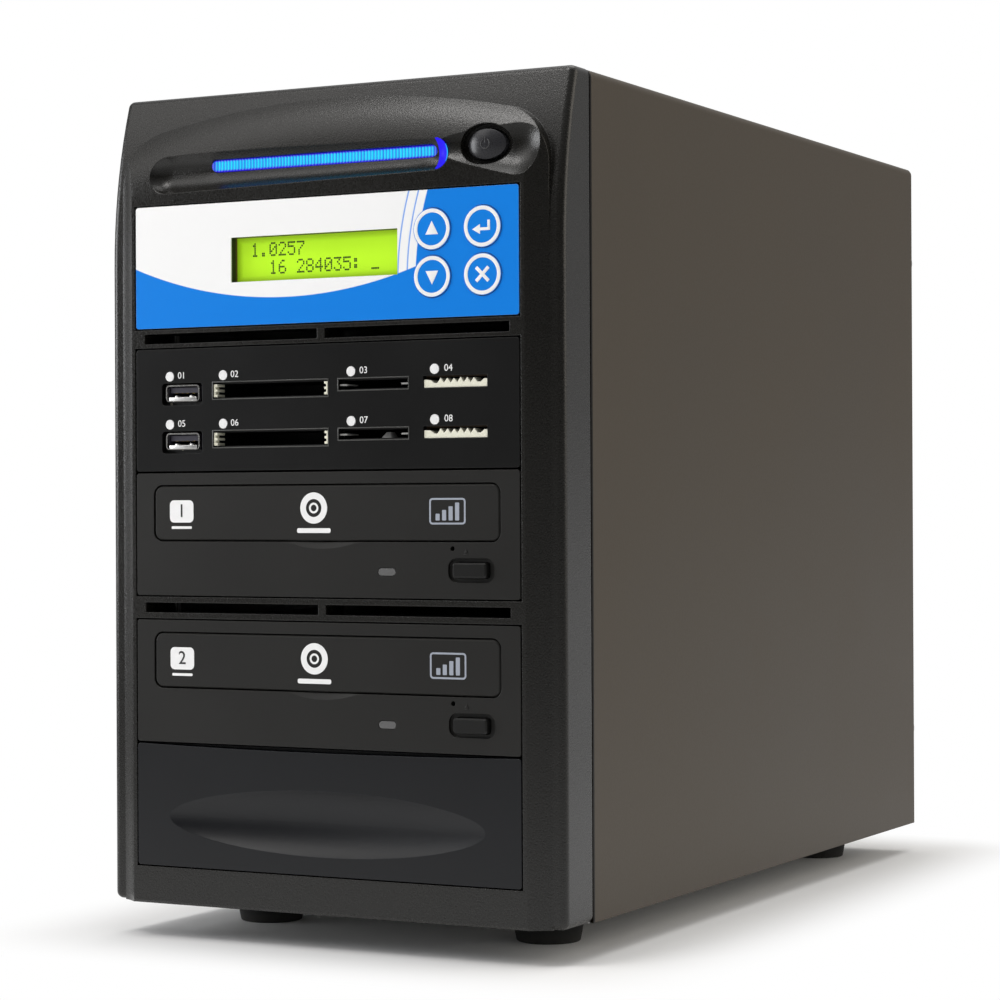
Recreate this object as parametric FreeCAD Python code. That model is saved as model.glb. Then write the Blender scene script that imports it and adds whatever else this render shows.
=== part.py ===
"""Tower duplicator for optical discs and flash cards, as an assembly of separate pieces.

Millimetres. X runs to the right, Y from the front to the back and Z up. The origin is on the floor,
under the middle of the overall box.
"""
import FreeCAD, Part
import math
import os

V = FreeCAD.Vector
X_AXIS = V(1, 0, 0)
Y_AXIS = V(0, 1, 0)
Z_AXIS = V(0, 0, 1)

# Case
case_width = 175.0
case_height = 278.0
case_depth = 340.0
foot_height = 12.0
foot_dia = 26.0
foot_inset = 32.0
cover_gauge = 1.0
cover_radius = 3.0
cover_flange = 13.0
cover_top_flange = 5.0
pan_flange = 16.0
seam_gap = 0.6
slip = 0.2
running = 0.05
thumb_head_dia = 8.8
thumb_head_height = 7.0

# Bays, from the bottom up: blank, lower drive, bar, upper drive, card reader, bar, display
panel_width = 148.0
panel_height = 41.7
panel_gap = 0.5
bay_gap = 0.7
bottom_rail = 13.2
lower_bar = 8.4
upper_bar = 7.2
panel_wall = 2.5
panel_depth = 8.0

# Front bezel: a raised face plate with an arched top on a body that leans back above the display
bezel_depth = 24.0
bezel_wall = 2.4
pillar_land = 1.5
pillar_fall = 4.6
land_width = 4.9
band_hollow = 0.35
edge_radius = 2.5
plate_chamfer = 1.0
plate_depth = 16.0
brow_depth = 17.0
bar_depth = 12.0
lean_start = 20.0
lean_radius = 184.0
arch_rise = 33.5
arch_radius = 318.0
shoulder_radius = 20.0
roll_width = 22.0
roll_depth = 6.5
scoop_axis = 3.0
scoop_left = -61.9
scoop_left_rise = 11.2
scoop_left_radius = 7.6
scoop_right = 43.1
scoop_right_rise = 11.7
scoop_right_radius = 6.2
bowl_axis = 9.0
bowl_left = 48.0
bowl_left_rise = 15.0
bowl_left_radius = 10.2
bowl_right = 73.2
bowl_right_rise = 14.2
bowl_right_radius = 14.2
vent_height = 3.4
vent_rib = 3.0
vent_inset = 4.0
head_wall_depth = 10.5
head_pocket_rise = 24.0
boss_dia = 6.0
tab_width = 10.0
tab_thickness = 1.2
tab_rises = (30.0, 130.0, 225.0)

# Light bar and power button, placed from the top of the display panel
light_left = -45.2
light_right = 42.6
light_rise = 13.0
light_height = 3.8
light_front = 3.9
power_x = 60.8
power_rise = 13.9
power_width = 13.8
power_height = 9.8
power_front = 2.2
power_floor = 5.8
power_recess_margin = 1.9
power_travel = 2.5
dome_radius = 16.0

# Display panel
overlay_gauge = 0.5
window_left = -35.2
window_right = 29.4
window_drop = 12.0
window_height = 15.1
key_dia = 13.6
key_columns = (42.5, 61.0)
key_drops = (12.9, 28.3)
key_proud = 0.4
key_travel = 0.5
lcd_border = 4.0
lcd_depth = 5.0

board_gauge = 1.6
tray_depth = 100.0

# Blank bay cover
blank_wall = 6.5
blank_scoop_half_width = 61.0
blank_scoop_half_height = 11.0
blank_scoop_depth = 4.0
blank_scoop_drop = 24.6
blank_arm_reach = 45.0
blank_top_dip = 1.0

# Card reader
reader_rows = (14.6, 31.0)
usb_x = -55.3
usb_width = 13.6
usb_height = 6.2
cf_x = -20.0
cf_width = 43.4
cf_height = 4.6
sd_x = 20.0
sd_width = 24.6
sd_height = 2.8
ms_x = 50.6
ms_width = 21.8
ms_height = 3.2
slot_wall = 1.0
slot_length = 26.0
lens_dia = 3.3
lens_columns = (-60.3, -38.7, 11.5, 43.0)
lens_lift = 5.2
usb_sink = 0.8
sd_lift = 0.9
ms_lift = 1.0
slot_side_margin = 0.9
slot_edge_margin = 0.4
usb_margin = 1.4
usb_corner = 1.3
usb_wall = 0.5

# Disc drives
drive_width = 146.0
drive_depth = 170.0
drive_gauge = 0.8
tray_front_width = 133.3
tray_front_height = 18.5
tray_front_drop = 4.4
tray_front_radius = 3.0
tray_front_chamfer = 0.5
tray_width = 129.0
tray_length = 160.0
tray_height = 7.5
disc_dia = 121.0
small_disc_dia = 81.0
disc_recess = 4.8
eject_x = 56.2
eject_rise = 9.3
eject_width = 12.4
eject_height = 5.0
eject_corner = 1.0
eject_chamfer = 0.5
eject_proud = 1.6
drive_lens_x = 24.9
drive_lens_rise = 8.6
drive_lens_width = 6.4
drive_lens_height = 2.4
hole_x = 49.4
hole_rise = 16.3
hole_dia = 1.6
tray_gap = 0.4
drive_bezel_depth = 6.0
dimple_width = 30.0
dimple_height = 2.7
dimple_depth = 1.0
turntable_dia = 28.0

# Drive cage
cage_depth = 120.0
cage_gauge = 1.0
screw_head_dia = 5.6
screw_head_height = 1.8
screw_dia = 3.0

# Power supply and fans
psu_width = 150.0
psu_height = 86.0
psu_depth = 140.0
psu_window_margin = 4.0
fan_size = 80.0
fan_depth = 25.0
fan_bore_dia = 76.0
fan_hub_dia = 34.0
fan_hole_pitch = 71.5
fan_blades = 7
fan_shaft_dia = 3.0
psu_fan_x = -22.0
exhaust_fan_rise = 110.0
inlet_x = 45.0
inlet_rise = 60.0
inlet_width = 24.2
inlet_height = 16.4
inlet_depth = 17.0
rocker_rise = 27.0
rocker_width = 12.0
rocker_length = 18.0
rocker_tilt = 11.0

# Derived places
overall_depth = eject_proud + case_depth + thumb_head_height
face_y = -overall_depth / 2 + eject_proud
seam_y = face_y + bezel_depth
rear_y = face_y + case_depth
base_z = foot_height
top_z = base_z + case_height
half_width = case_width / 2
inner_half = half_width - cover_gauge - slip / 2
pan_z = base_z + cover_gauge
roof_z = top_z - cover_gauge - slip / 2
plate_y = seam_y + cover_gauge
rear_sheet_y = rear_y - 2 * cover_gauge
blank_z = base_z + bottom_rail
lower_z = blank_z + panel_height + bay_gap
upper_z = lower_z + panel_height + lower_bar
reader_z = upper_z + panel_height + bay_gap
display_z = reader_z + panel_height + upper_bar
display_top = display_z + panel_height
opening_half = panel_width / 2 + panel_gap
plate_half = half_width - land_width
cage_half = drive_width / 2 + slip
psu_z = roof_z - 2 * cover_gauge - psu_height
disc_y = face_y + panel_wall + 1.5 + disc_dia / 2 + 4.0

nodes = {}


def box(x0, x1, y0, y1, z0, z1):
    """Block between two opposite corners."""
    return Part.makeBox(x1 - x0, y1 - y0, z1 - z0, V(x0, y0, z0))


def rounded_wire(width, height, radius, x, y, z):
    """Rounded rectangle facing along Y, centred on x and z; half the height as radius gives a slot."""
    half_x = width / 2 - radius
    half_z = height / 2 - radius
    corners = ((half_x, half_z, 0), (-half_x, half_z, 90), (-half_x, -half_z, 180), (half_x, -half_z, 270))
    arcs = []
    for corner_x, corner_z, start in corners:
        points = []
        for turn in (0, 45, 90):
            angle = math.radians(start + turn)
            points.append(V(x + corner_x + radius * math.cos(angle), y,
                            z + corner_z + radius * math.sin(angle)))
        arcs.append(points)
    edges = []
    for number, points in enumerate(arcs):
        edges.append(Part.Arc(*points).toShape())
        following = arcs[(number + 1) % 4][0]
        if points[2].distanceToPoint(following) > 1e-6:
            edges.append(Part.LineSegment(points[2], following).toShape())
    return Part.Wire(edges)


def slab(width, height, radius, x, z, y0, y1):
    """Rounded rectangular prism along Y."""
    return Part.Face(rounded_wire(width, height, radius, x, y0, z)).extrude(V(0, y1 - y0, 0))


def rod(diameter, start, end):
    """Round bar between two points."""
    along = end.sub(start)
    return Part.makeCylinder(diameter / 2, along.Length, start, along)


def hex_bar(diameter, start, end):
    """Six-sided bar between two points, as a screw head or a standoff."""
    along = end.sub(start)
    side = Z_AXIS.cross(along) if along.x or along.y else V(X_AXIS)
    side = V(side).normalize().multiply(diameter / 2)
    turn = FreeCAD.Rotation(along, 60)
    corners = [side]
    for _ in range(5):
        corners.append(turn.multVec(corners[-1]))
    return prism([start.add(corner) for corner in corners], along)


def prism(points, along):
    """Solid swept from a flat polygon by one vector."""
    return Part.Face(Part.makePolygon(points + [points[0]])).extrude(along)


def oval(width, height, x, z, y0, y1):
    """Elliptic prism along Y."""
    edge = Part.Ellipse(V(0, 0, 0), width / 2, height / 2).toShape()
    solid = Part.Face(Part.Wire([edge])).extrude(V(0, 0, y1 - y0))
    solid.rotate(V(0, 0, 0), X_AXIS, 90)
    solid.translate(V(x, y1, z))
    return solid


def mirrored(shape):
    """The shape and its copy on the other side of the middle plane."""
    return [shape, shape.mirror(V(0, 0, 0), X_AXIS)]


def fused(shapes):
    """One solid from touching shapes, with its seams cleaned."""
    return shapes[0].multiFuse(shapes[1:]).removeSplitter()


def keep(name, *shapes):
    """Store the solids of one node."""
    solids = [solid for shape in shapes for solid in shape.Solids]
    nodes[name] = Part.Compound(solids)


def face_outline(y):
    """Outline of the face plate: straight pillars, rounded shoulders and an arched top, all tangent."""
    side = plate_half
    arch_z = display_top + arch_rise - arch_radius
    reach = arch_radius - shoulder_radius
    shoulder_x = side - shoulder_radius
    shoulder_z = arch_z + math.sqrt(reach ** 2 - shoulder_x ** 2)
    heading = math.atan2(shoulder_z - arch_z, shoulder_x)

    def shoulder(angle):
        return V(shoulder_x + shoulder_radius * math.cos(angle), y,
                 shoulder_z + shoulder_radius * math.sin(angle))

    def flipped(point):
        return V(-point.x, point.y, point.z)

    start, middle, end = (shoulder(angle) for angle in (0, heading / 2, heading))
    return Part.Wire([edge.toShape() for edge in (
        Part.LineSegment(V(side, y, base_z), start),
        Part.Arc(start, middle, end),
        Part.Arc(end, V(0, y, display_top + arch_rise), flipped(end)),
        Part.Arc(flipped(end), flipped(middle), flipped(start)),
        Part.LineSegment(flipped(start), V(-side, y, base_z)),
        Part.LineSegment(V(-side, y, base_z), V(side, y, base_z)),
    )])


def leaning_body():
    """Outer body: upright below the display, leaning back above it, with its outer edges rounded."""
    front = face_y + pillar_fall
    lean_z = display_top - lean_start
    rise = top_z - lean_z

    def leaning(height):
        back = lean_radius - math.sqrt(lean_radius ** 2 - height ** 2)
        return V(-half_width, front + back, lean_z + height)

    bottom_front = V(-half_width, front, base_z)
    bottom_back = V(-half_width, seam_y, base_z)
    top_back = V(-half_width, seam_y, top_z)
    side = Part.Wire([edge.toShape() for edge in (
        Part.LineSegment(bottom_back, bottom_front),
        Part.LineSegment(bottom_front, leaning(0)),
        Part.Arc(leaning(0), leaning(rise / 2), leaning(rise)),
        Part.LineSegment(leaning(rise), top_back),
        Part.LineSegment(top_back, bottom_back),
    )])
    body = Part.Face(side).extrude(V(case_width, 0, 0))
    return body.makeFillet(edge_radius, [edge for edge in body.Edges if edge.BoundBox.YMin < seam_y - 1])


def pillar_band():
    """What is cut from the right of the face plate: a hollow band from the lip down to the outer land."""
    land_x = opening_half + pillar_land
    side = plate_half
    ahead = face_y - 1
    low = base_z - 1
    fall_y = face_y + pillar_fall
    middle = V((land_x + side) / 2 - band_hollow, (face_y + fall_y) / 2 + band_hollow, low)
    outline = Part.Wire([edge.toShape() for edge in (
        Part.Arc(V(land_x, face_y, low), middle, V(side, fall_y, low)),
        Part.LineSegment(V(side, fall_y, low), V(side + 1, fall_y, low)),
        Part.LineSegment(V(side + 1, fall_y, low), V(side + 1, ahead, low)),
        Part.LineSegment(V(side + 1, ahead, low), V(land_x, ahead, low)),
        Part.LineSegment(V(land_x, ahead, low), V(land_x, face_y, low)),
    )])
    return Part.Face(outline).extrude(V(0, 0, case_height + 2))


def arch_roll():
    """What is cut from the top of the face plate: a rounded roll back to the arch, turned on its centre."""
    arch_z = display_top + arch_rise - arch_radius
    curve = (roll_width ** 2 + roll_depth ** 2) / (2 * roll_depth)
    inner = arch_z + arch_radius - roll_width
    reach = roll_width + 1
    half = reach / 2
    ahead = face_y - 1

    def rolled(distance):
        return V(0, face_y + curve - math.sqrt(curve ** 2 - distance ** 2), inner + distance)

    outline = Part.Wire([edge.toShape() for edge in (
        Part.Arc(rolled(0), rolled(half), rolled(reach)),
        Part.LineSegment(rolled(reach), V(0, ahead, inner + reach)),
        Part.LineSegment(V(0, ahead, inner + reach), V(0, ahead, inner)),
        Part.LineSegment(V(0, ahead, inner), rolled(0)),
    )])
    sector = 2 * math.degrees(math.asin(half_width / (arch_radius - roll_width)))
    profile = Part.Face(outline)
    profile.rotate(V(0, 0, arch_z), Y_AXIS, -sector / 2)
    return profile.revolve(V(0, 0, arch_z), Y_AXIS, sector)


def tapered_dish(left, left_radius, right, right_radius):
    """Two balls and the cone that touches both, turned in one piece, as a cutter for a smooth dish."""
    along = right.sub(left)
    touch = math.acos((left_radius - right_radius) / along.Length)
    unit = V(along).normalize()

    def rim(centre, radius, angle):
        return centre.add(V(unit).multiply(radius * math.cos(angle))).add(V(0, radius * math.sin(angle), 0))

    left_rim = [rim(left, left_radius, angle) for angle in (math.pi, (math.pi + touch) / 2, touch)]
    right_rim = [rim(right, right_radius, angle) for angle in (touch, touch / 2, 0)]
    outline = Part.Wire([edge.toShape() for edge in (
        Part.Arc(*left_rim),
        Part.LineSegment(left_rim[2], right_rim[0]),
        Part.Arc(*right_rim),
        Part.LineSegment(right_rim[2], left_rim[0]),
    )])
    return Part.Face(outline).revolve(left, along, 360)


def head_dishes():
    """The long scoop round the light bar and the bowl round the power button."""
    scoop_y = face_y - scoop_axis
    scoop = tapered_dish(V(scoop_left, scoop_y, display_top + scoop_left_rise), scoop_left_radius,
                         V(scoop_right, scoop_y, display_top + scoop_right_rise), scoop_right_radius)
    bowl_y = face_y - bowl_axis
    bowl = tapered_dish(V(bowl_left, bowl_y, display_top + bowl_left_rise), bowl_left_radius,
                        V(bowl_right, bowl_y, display_top + bowl_right_rise), bowl_right_radius)
    return [scoop, bowl]


def bay_openings():
    """Three openings through the bezel, with the two vented bars between them."""
    groups = ((blank_z, lower_z), (upper_z, reader_z), (display_z, display_z))
    cuts = []
    for low, high in groups:
        cuts.append(box(-opening_half, opening_half, face_y - 1, seam_y + 1,
                        low - panel_gap, high + panel_height + panel_gap))
    for bar_z, bar in ((upper_z - lower_bar, lower_bar), (display_z - upper_bar, upper_bar)):
        middle = bar_z + bar / 2
        cuts.append(box(-opening_half, opening_half, face_y + bar_depth, seam_y + 1, bar_z, bar_z + bar))
        slot_end = opening_half - vent_inset
        slot = box(vent_rib / 2, slot_end, face_y - 1, seam_y, middle - vent_height / 2,
                   middle + vent_height / 2)
        cuts += mirrored(slot)
    return cuts


def bezel_pockets():
    """Hollows behind the head, the pillars and the bottom rail."""
    inner_x = opening_half + bezel_wall
    outer_x = half_width - bezel_wall
    head_z = display_top + panel_gap + bezel_wall
    shelf_z = display_top + head_pocket_rise
    behind = seam_y + 1
    head = box(-outer_x, outer_x, face_y + head_wall_depth, behind, head_z, shelf_z)
    brow = box(-outer_x, outer_x, face_y + brow_depth, behind, shelf_z,
               top_z - 2 * bezel_wall)
    pillar = box(inner_x, outer_x, face_y + pillar_fall + 2 * bezel_wall, behind, blank_z, display_top)
    rail = box(-opening_half, opening_half, face_y + bezel_wall, behind, base_z + bezel_wall,
               blank_z - panel_gap - bezel_wall)
    return [head, brow, rail] + mirrored(pillar)


def bezel_tab(rise, grow):
    """Snap tab behind a pillar's inner wall; grown, it is the slot that it goes through."""
    inner_x = opening_half + bezel_wall
    return box(inner_x - tab_thickness - grow, inner_x + grow, seam_y - grow, plate_y + 3.0,
               base_z + rise - tab_width / 2 - grow, base_z + rise + tab_width / 2 + grow)


board_y = seam_y - 5.0
power_z = display_top + power_rise
light_z = display_top + light_rise
light_x = (light_left + light_right) / 2
light_length = light_right - light_left
board_bosses = ((light_left - 7.0, light_z), (light_x, light_z + 7.0), (power_x + 13.0, power_z))


def front_bezel():
    """Moulded front with an arched face plate, dished head, vented bars and snap tabs."""
    plate = Part.Face(face_outline(face_y)).extrude(V(0, plate_depth, 0))
    foot = [V(-half_width, face_y - 1, base_z - 1), V(-half_width, face_y - 1, base_z + plate_chamfer + 1),
            V(-half_width, face_y + plate_chamfer + 1, base_z - 1)]
    plate = plate.cut(mirrored(pillar_band()) + [arch_roll(), prism(foot, V(case_width, 0, 0))])
    margin = 2 * power_recess_margin
    slot = 2 * slip
    cuts = head_dishes() + bay_openings() + bezel_pockets() + [
        slab(light_length + slot, light_height + slot, (light_height + slot) / 2, light_x, light_z,
             face_y, seam_y),
        oval(power_width + margin, power_height + margin, power_x, power_z, face_y, face_y + power_floor),
        oval(power_width + 3 * slip, power_height + 3 * slip, power_x, power_z, face_y, seam_y),
    ]
    body = leaning_body().fuse(plate).cut(cuts)
    additions = []
    for x, z in board_bosses:
        additions.append(rod(boss_dia, V(x, face_y + head_wall_depth - 1, z), V(x, board_y, z)))
    for rise in tab_rises:
        additions += mirrored(bezel_tab(rise, 0))
    keep("front_bezel", fused([body] + additions))


def light_bar():
    """Light guide seated in its slot, with a flange behind the bezel wall."""
    wall_y = face_y + head_wall_depth
    rim = 2.0
    guide = slab(light_length, light_height, light_height / 2, light_x, light_z,
                 face_y + light_front, wall_y + rim)
    flange = slab(light_length + 2 * rim, light_height + 2 * rim, light_height / 2 + rim, light_x, light_z,
                  wall_y, wall_y + rim)
    keep("light_bar", fused([guide, flange]))


def power_button():
    """Domed oval cap with a flange behind the wall and a stem that reaches the switch."""
    cap_y = face_y + power_front
    wall_y = face_y + head_wall_depth
    cap = oval(power_width, power_height, power_x, power_z, cap_y, wall_y + 1.0)
    cap = cap.common(Part.makeSphere(dome_radius, V(power_x, cap_y + dome_radius, power_z)))
    flange = oval(power_width + 3.0, power_height + 3.0, power_x, power_z, wall_y + slip, wall_y + 1.5)
    stem = hex_bar(5.0, V(power_x, wall_y + 1.0, power_z), V(power_x, wall_y + 2.2, power_z))
    keep("power_button", fused([cap, flange, stem]))


def light_board():
    """Circuit board behind the head, with three light sources and the power switch."""
    board = box(board_bosses[0][0] - boss_dia / 2, board_bosses[2][0] + boss_dia / 2, board_y,
                board_y + board_gauge, light_z - 8.0, light_z + 10.4)
    parts = [board]
    for x in (light_left + 15.0, light_right - 15.0):
        parts.append(box(x - 3, x + 3, board_y - 4.0, board_y, light_z - 2, light_z + 2))
    switch_y = face_y + head_wall_depth + 2.2 + power_travel + slip
    parts.append(box(power_x - 3, power_x + 3, switch_y, board_y, power_z - 3, power_z + 3))
    keep("light_board", fused(parts))


flange_x = cage_half + cage_gauge + slip
thumb_x = half_width - cover_flange / 2 - cover_gauge / 2
thumb_places = [(side * thumb_x, z) for side in (-1, 1) for z in (base_z + 40, top_z - 40)]
thumb_dia = 3.5
fan_z = base_z + exhaust_fan_rise
psu_rear = rear_sheet_y
psu_front = psu_rear - psu_depth
psu_top = psu_z + psu_height
psu_fan_z = psu_z + psu_height / 2
inlet_z = psu_z + inlet_rise
rocker_z = psu_z + rocker_rise
inlet_wall = 2.0
rocker_play = 1.2
rocker_wall = 2.0
psu_corner = 6.0
psu_screws = [(x, z) for x in (-psu_width / 2 + psu_corner, psu_width / 2 - psu_corner)
              for z in (psu_z + psu_corner, psu_top - psu_corner)]
fan_half_pitch = fan_hole_pitch / 2
fan_corners = [(x, z) for x in (-fan_half_pitch, fan_half_pitch) for z in (-fan_half_pitch, fan_half_pitch)]
fan_screws = [(x, fan_z + z) for x, z in fan_corners]


def wrap_cover():
    """Folded steel cover: two sides, the top and a flange turned in at the back."""
    front = seam_y + seam_gap
    outer = box(-half_width, half_width, front, rear_y, base_z, top_z)
    ridges = [edge for edge in outer.Edges if edge.Length > case_depth - bezel_depth - 1 and
              edge.BoundBox.ZMin > top_z - 1]
    outer = outer.makeFillet(cover_radius, ridges)
    inner = box(-half_width + cover_gauge, half_width - cover_gauge, front - 1, rear_y - cover_gauge,
                base_z - 1, top_z - cover_gauge)
    ridges = [edge for edge in inner.Edges if abs(edge.tangentAt(edge.FirstParameter).y) > 0.9 and
              edge.BoundBox.ZMin > base_z]
    inner = inner.makeFillet(cover_radius - cover_gauge, ridges)
    window = box(-half_width + cover_flange, half_width - cover_flange, rear_y - cover_gauge - 1, rear_y + 1,
                 base_z - 1, top_z - cover_top_flange)
    holes = [rod(thumb_dia + 2 * slip, V(x, rear_y - 3, z), V(x, rear_y + 1, z)) for x, z in thumb_places]
    keep("wrap_cover", outer.cut([inner, window] + holes))


def base_pan():
    """Floor of the chassis with a folded flange along each side."""
    floor = box(-inner_half, inner_half, seam_y, rear_y - cover_gauge, base_z, pan_z)
    side = box(inner_half - cover_gauge, inner_half, plate_y, rear_sheet_y, base_z, base_z + pan_flange)
    keep("base_pan", fused([floor] + mirrored(side)))


def end_sheet(y0, y1):
    """Upright sheet across the case, with its top corners cut to clear the cover's bends."""
    corner = cover_radius
    outline = [V(-inner_half, y0, pan_z), V(inner_half, y0, pan_z), V(inner_half, y0, roof_z - corner),
               V(inner_half - corner, y0, roof_z), V(corner - inner_half, y0, roof_z),
               V(-inner_half, y0, roof_z - corner)]
    return prism(outline, V(0, y1 - y0, 0))


def front_plate():
    """Steel front with one tall opening, folded edges beside it and slots for the bezel's tabs."""
    low = blank_z - 1
    high = display_top + 1
    sheet = end_sheet(seam_y, plate_y)
    sheet = sheet.cut(box(-flange_x, flange_x, seam_y - 1, plate_y + 1, low, high))
    fold = box(flange_x, flange_x + cover_gauge, seam_y, plate_y + 12, low, high)
    plate = fused([sheet] + mirrored(fold))
    slots = []
    for rise in tab_rises:
        slots += mirrored(bezel_tab(rise, slip))
    keep("front_plate", plate.cut(slots))


def grille_slots(x, z, y0, y1):
    """Upright slots of a round stamped grille."""
    pitch = 8.0
    slot_width = 5.0
    count = 4
    cuts = []
    for number in range(-count, count + 1):
        offset = number * pitch
        half = math.sqrt((fan_bore_dia / 2) ** 2 - offset ** 2) - 2.0
        for low, high in ((z - half, z - slot_width / 2), (z + slot_width / 2, z + half)):
            cuts.append(box(x + offset - slot_width / 2, x + offset + slot_width / 2, y0, y1, low, high))
    return cuts


def rear_panel():
    """Back sheet with the power supply window, the exhaust grille and its screw holes."""
    back = rear_y - cover_gauge
    sheet = end_sheet(rear_sheet_y, back)
    half = psu_width / 2 - psu_window_margin
    window = box(-half, half, rear_sheet_y - 1, back + 1, psu_z + psu_window_margin,
                 psu_top - psu_window_margin)
    ear = 2 * psu_corner
    for x, z in psu_screws:
        window = window.cut(box(x - ear / 2, x + ear / 2, rear_sheet_y - 2, back + 2,
                                z - ear / 2, z + ear / 2))
    cuts = [window] + grille_slots(0, fan_z, rear_sheet_y - 1, back + 1)
    for x, z in psu_screws + fan_screws:
        cuts.append(hex_bar(screw_dia + 3 * slip, V(x, rear_sheet_y - 1, z), V(x, back + 1, z)))
    for x, z in thumb_places:
        cuts.append(rod(thumb_dia + 2 * slip, V(x, rear_sheet_y - 1, z), V(x, back + 1, z)))
    keep("rear_panel", sheet.cut(cuts))


def feet():
    """Four tapered rubber feet."""
    solids = []
    for x in (-half_width + foot_inset, half_width - foot_inset):
        for y in (seam_y + foot_inset, rear_y - foot_inset):
            solids.append(Part.makeCone(foot_dia / 2 - 2, foot_dia / 2, foot_height, V(x, y, 0), Z_AXIS))
    keep("feet", *solids)


cage_screw_ys = (plate_y + 30.0, plate_y + 80.0)
cage_screw_rise = 10.0
device_zs = (lower_z, upper_z, reader_z, display_z)
cage_screws = [(y, z + cage_screw_rise) for y in cage_screw_ys for z in device_zs]


def drive_cage():
    """Two folded cage sides that stand on the pan and hold the devices by their screws."""
    wide = cage_half + cage_gauge
    front = plate_y
    back = plate_y + cage_depth
    top = display_top + 1
    fold = 9.0
    side = fused([
        box(cage_half, wide, front, back, pan_z, top),
        box(cage_half, wide + fold, front + 13, back, pan_z, pan_z + cage_gauge),
        box(cage_half, wide + fold, front + 13, back, top - cage_gauge, top),
    ])
    for y, z in cage_screws:
        half = screw_dia / 2 + slip
        side = side.cut(box(cage_half - 1, wide + 1, y - 2 * half, y + 2 * half, z - half, z + half))
    for z in device_zs:
        slot = box(cage_half - 1, wide + 1, front + 42, front + 68, z + cage_screw_rise - 3,
                   z + cage_screw_rise + 12)
        side = side.cut(slot)
    right, left = mirrored(side)
    keep("drive_cage_right", right)
    keep("drive_cage_left", left)
    screws = []
    for y, z in cage_screws:
        head = hex_bar(screw_head_dia, V(wide, y, z), V(wide + screw_head_height, y, z))
        shank = hex_bar(screw_dia, V(drive_width / 2, y, z), V(wide, y, z))
        screws += mirrored(fused([head, shank]))
    keep("drive_screws", *screws)


def cover_thumbscrews():
    """Screws with large heads that hold the cover's flange to the back."""
    screws = []
    for x, z in thumb_places:
        head = rod(thumb_head_dia, V(x, rear_y, z), V(x, rear_y + thumb_head_height, z))
        shank = hex_bar(thumb_dia, V(x, rear_sheet_y - 5, z), V(x, rear_y, z))
        screws.append(fused([head, shank]))
    keep("cover_thumbscrews", *screws)


def rear_screws():
    """Small screws of the power supply and of the exhaust fan."""
    back = rear_y - cover_gauge
    screws = []
    for x, z in psu_screws + fan_screws:
        head = hex_bar(screw_head_dia, V(x, back, z), V(x, back + screw_head_height, z))
        shank = hex_bar(screw_dia, V(x, rear_sheet_y - 4, z), V(x, back, z))
        screws.append(fused([head, shank]))
    keep("rear_screws", *screws)


def fan(name, x, z, back_y):
    """Square fan frame with a strutted motor seat, and its seven-bladed rotor on a shaft."""
    front_y = back_y - fan_depth
    half = fan_size / 2
    seat = 4.0
    frame = box(x - half, x + half, front_y, back_y, z - half, z + half)
    frame = frame.cut(rod(fan_bore_dia, V(x, front_y - 1, z), V(x, back_y + 1, z)))
    for dx, dz in fan_corners:
        frame = frame.cut(hex_bar(screw_dia + 5 * slip, V(x + dx, front_y - 1, z + dz),
                                  V(x + dx, back_y + 1, z + dz)))
    motor = rod(fan_hub_dia, V(x, back_y - seat, z), V(x, back_y, z))
    post = rod(9.0, V(x, back_y - seat - 8, z), V(x, back_y - seat, z))
    struts = [box(x - half + 1, x + half - 1, back_y - 3, back_y, z - 2, z + 2),
              box(x - 2, x + 2, back_y - 3, back_y, z - half + 1, z + half - 1)]
    frame = fused([frame, motor, post] + struts)
    shaft_end = back_y - seat - 7
    bearing = rod(fan_shaft_dia + 2 * running, V(x, back_y - seat - 9, z), V(x, shaft_end + 7, z))
    keep(name + "_frame", frame.cut(bearing))

    hub_front = front_y + 2
    hub_back = back_y - seat - 0.5
    hub = rod(fan_hub_dia, V(x, hub_front, z), V(x, hub_back, z))
    hub = hub.cut(rod(fan_hub_dia - 4, V(x, hub_front + 2, z), V(x, hub_back + 1, z)))
    shaft = rod(fan_shaft_dia, V(x, hub_front + 1, z), V(x, shaft_end + 6, z))
    middle = V(x, (hub_front + hub_back) / 2, z)

    def blade_section(radius, chord, pitch):
        thick = 0.8
        lean = math.radians(pitch)
        along = V(0, math.sin(lean), math.cos(lean)).multiply(chord / 2)
        across = V(0, math.cos(lean), -math.sin(lean)).multiply(thick)
        centre = middle.add(V(radius, 0, 0))
        corners = [centre.add(along).add(across), centre.sub(along).add(across),
                   centre.sub(along).sub(across), centre.add(along).sub(across)]
        return Part.makePolygon(corners + [corners[0]])

    blade = Part.makeLoft([blade_section(fan_hub_dia / 2 - 1, 17.0, 42.0),
                           blade_section(fan_bore_dia / 2 - 4, 25.0, 28.0)], True, True)
    pieces = [hub, shaft]
    for number in range(fan_blades):
        copy = blade.copy()
        copy.rotate(middle, Y_AXIS, 360.0 * number / fan_blades)
        pieces.append(copy)
    inside = rod(fan_hub_dia - 4, V(x, hub_front + 2, z), V(x, hub_back + 1, z))
    rotor = pieces[0].multiFuse(pieces[2:]).cut(inside)
    keep(name + "_rotor", fused([rotor, shaft]))


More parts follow.
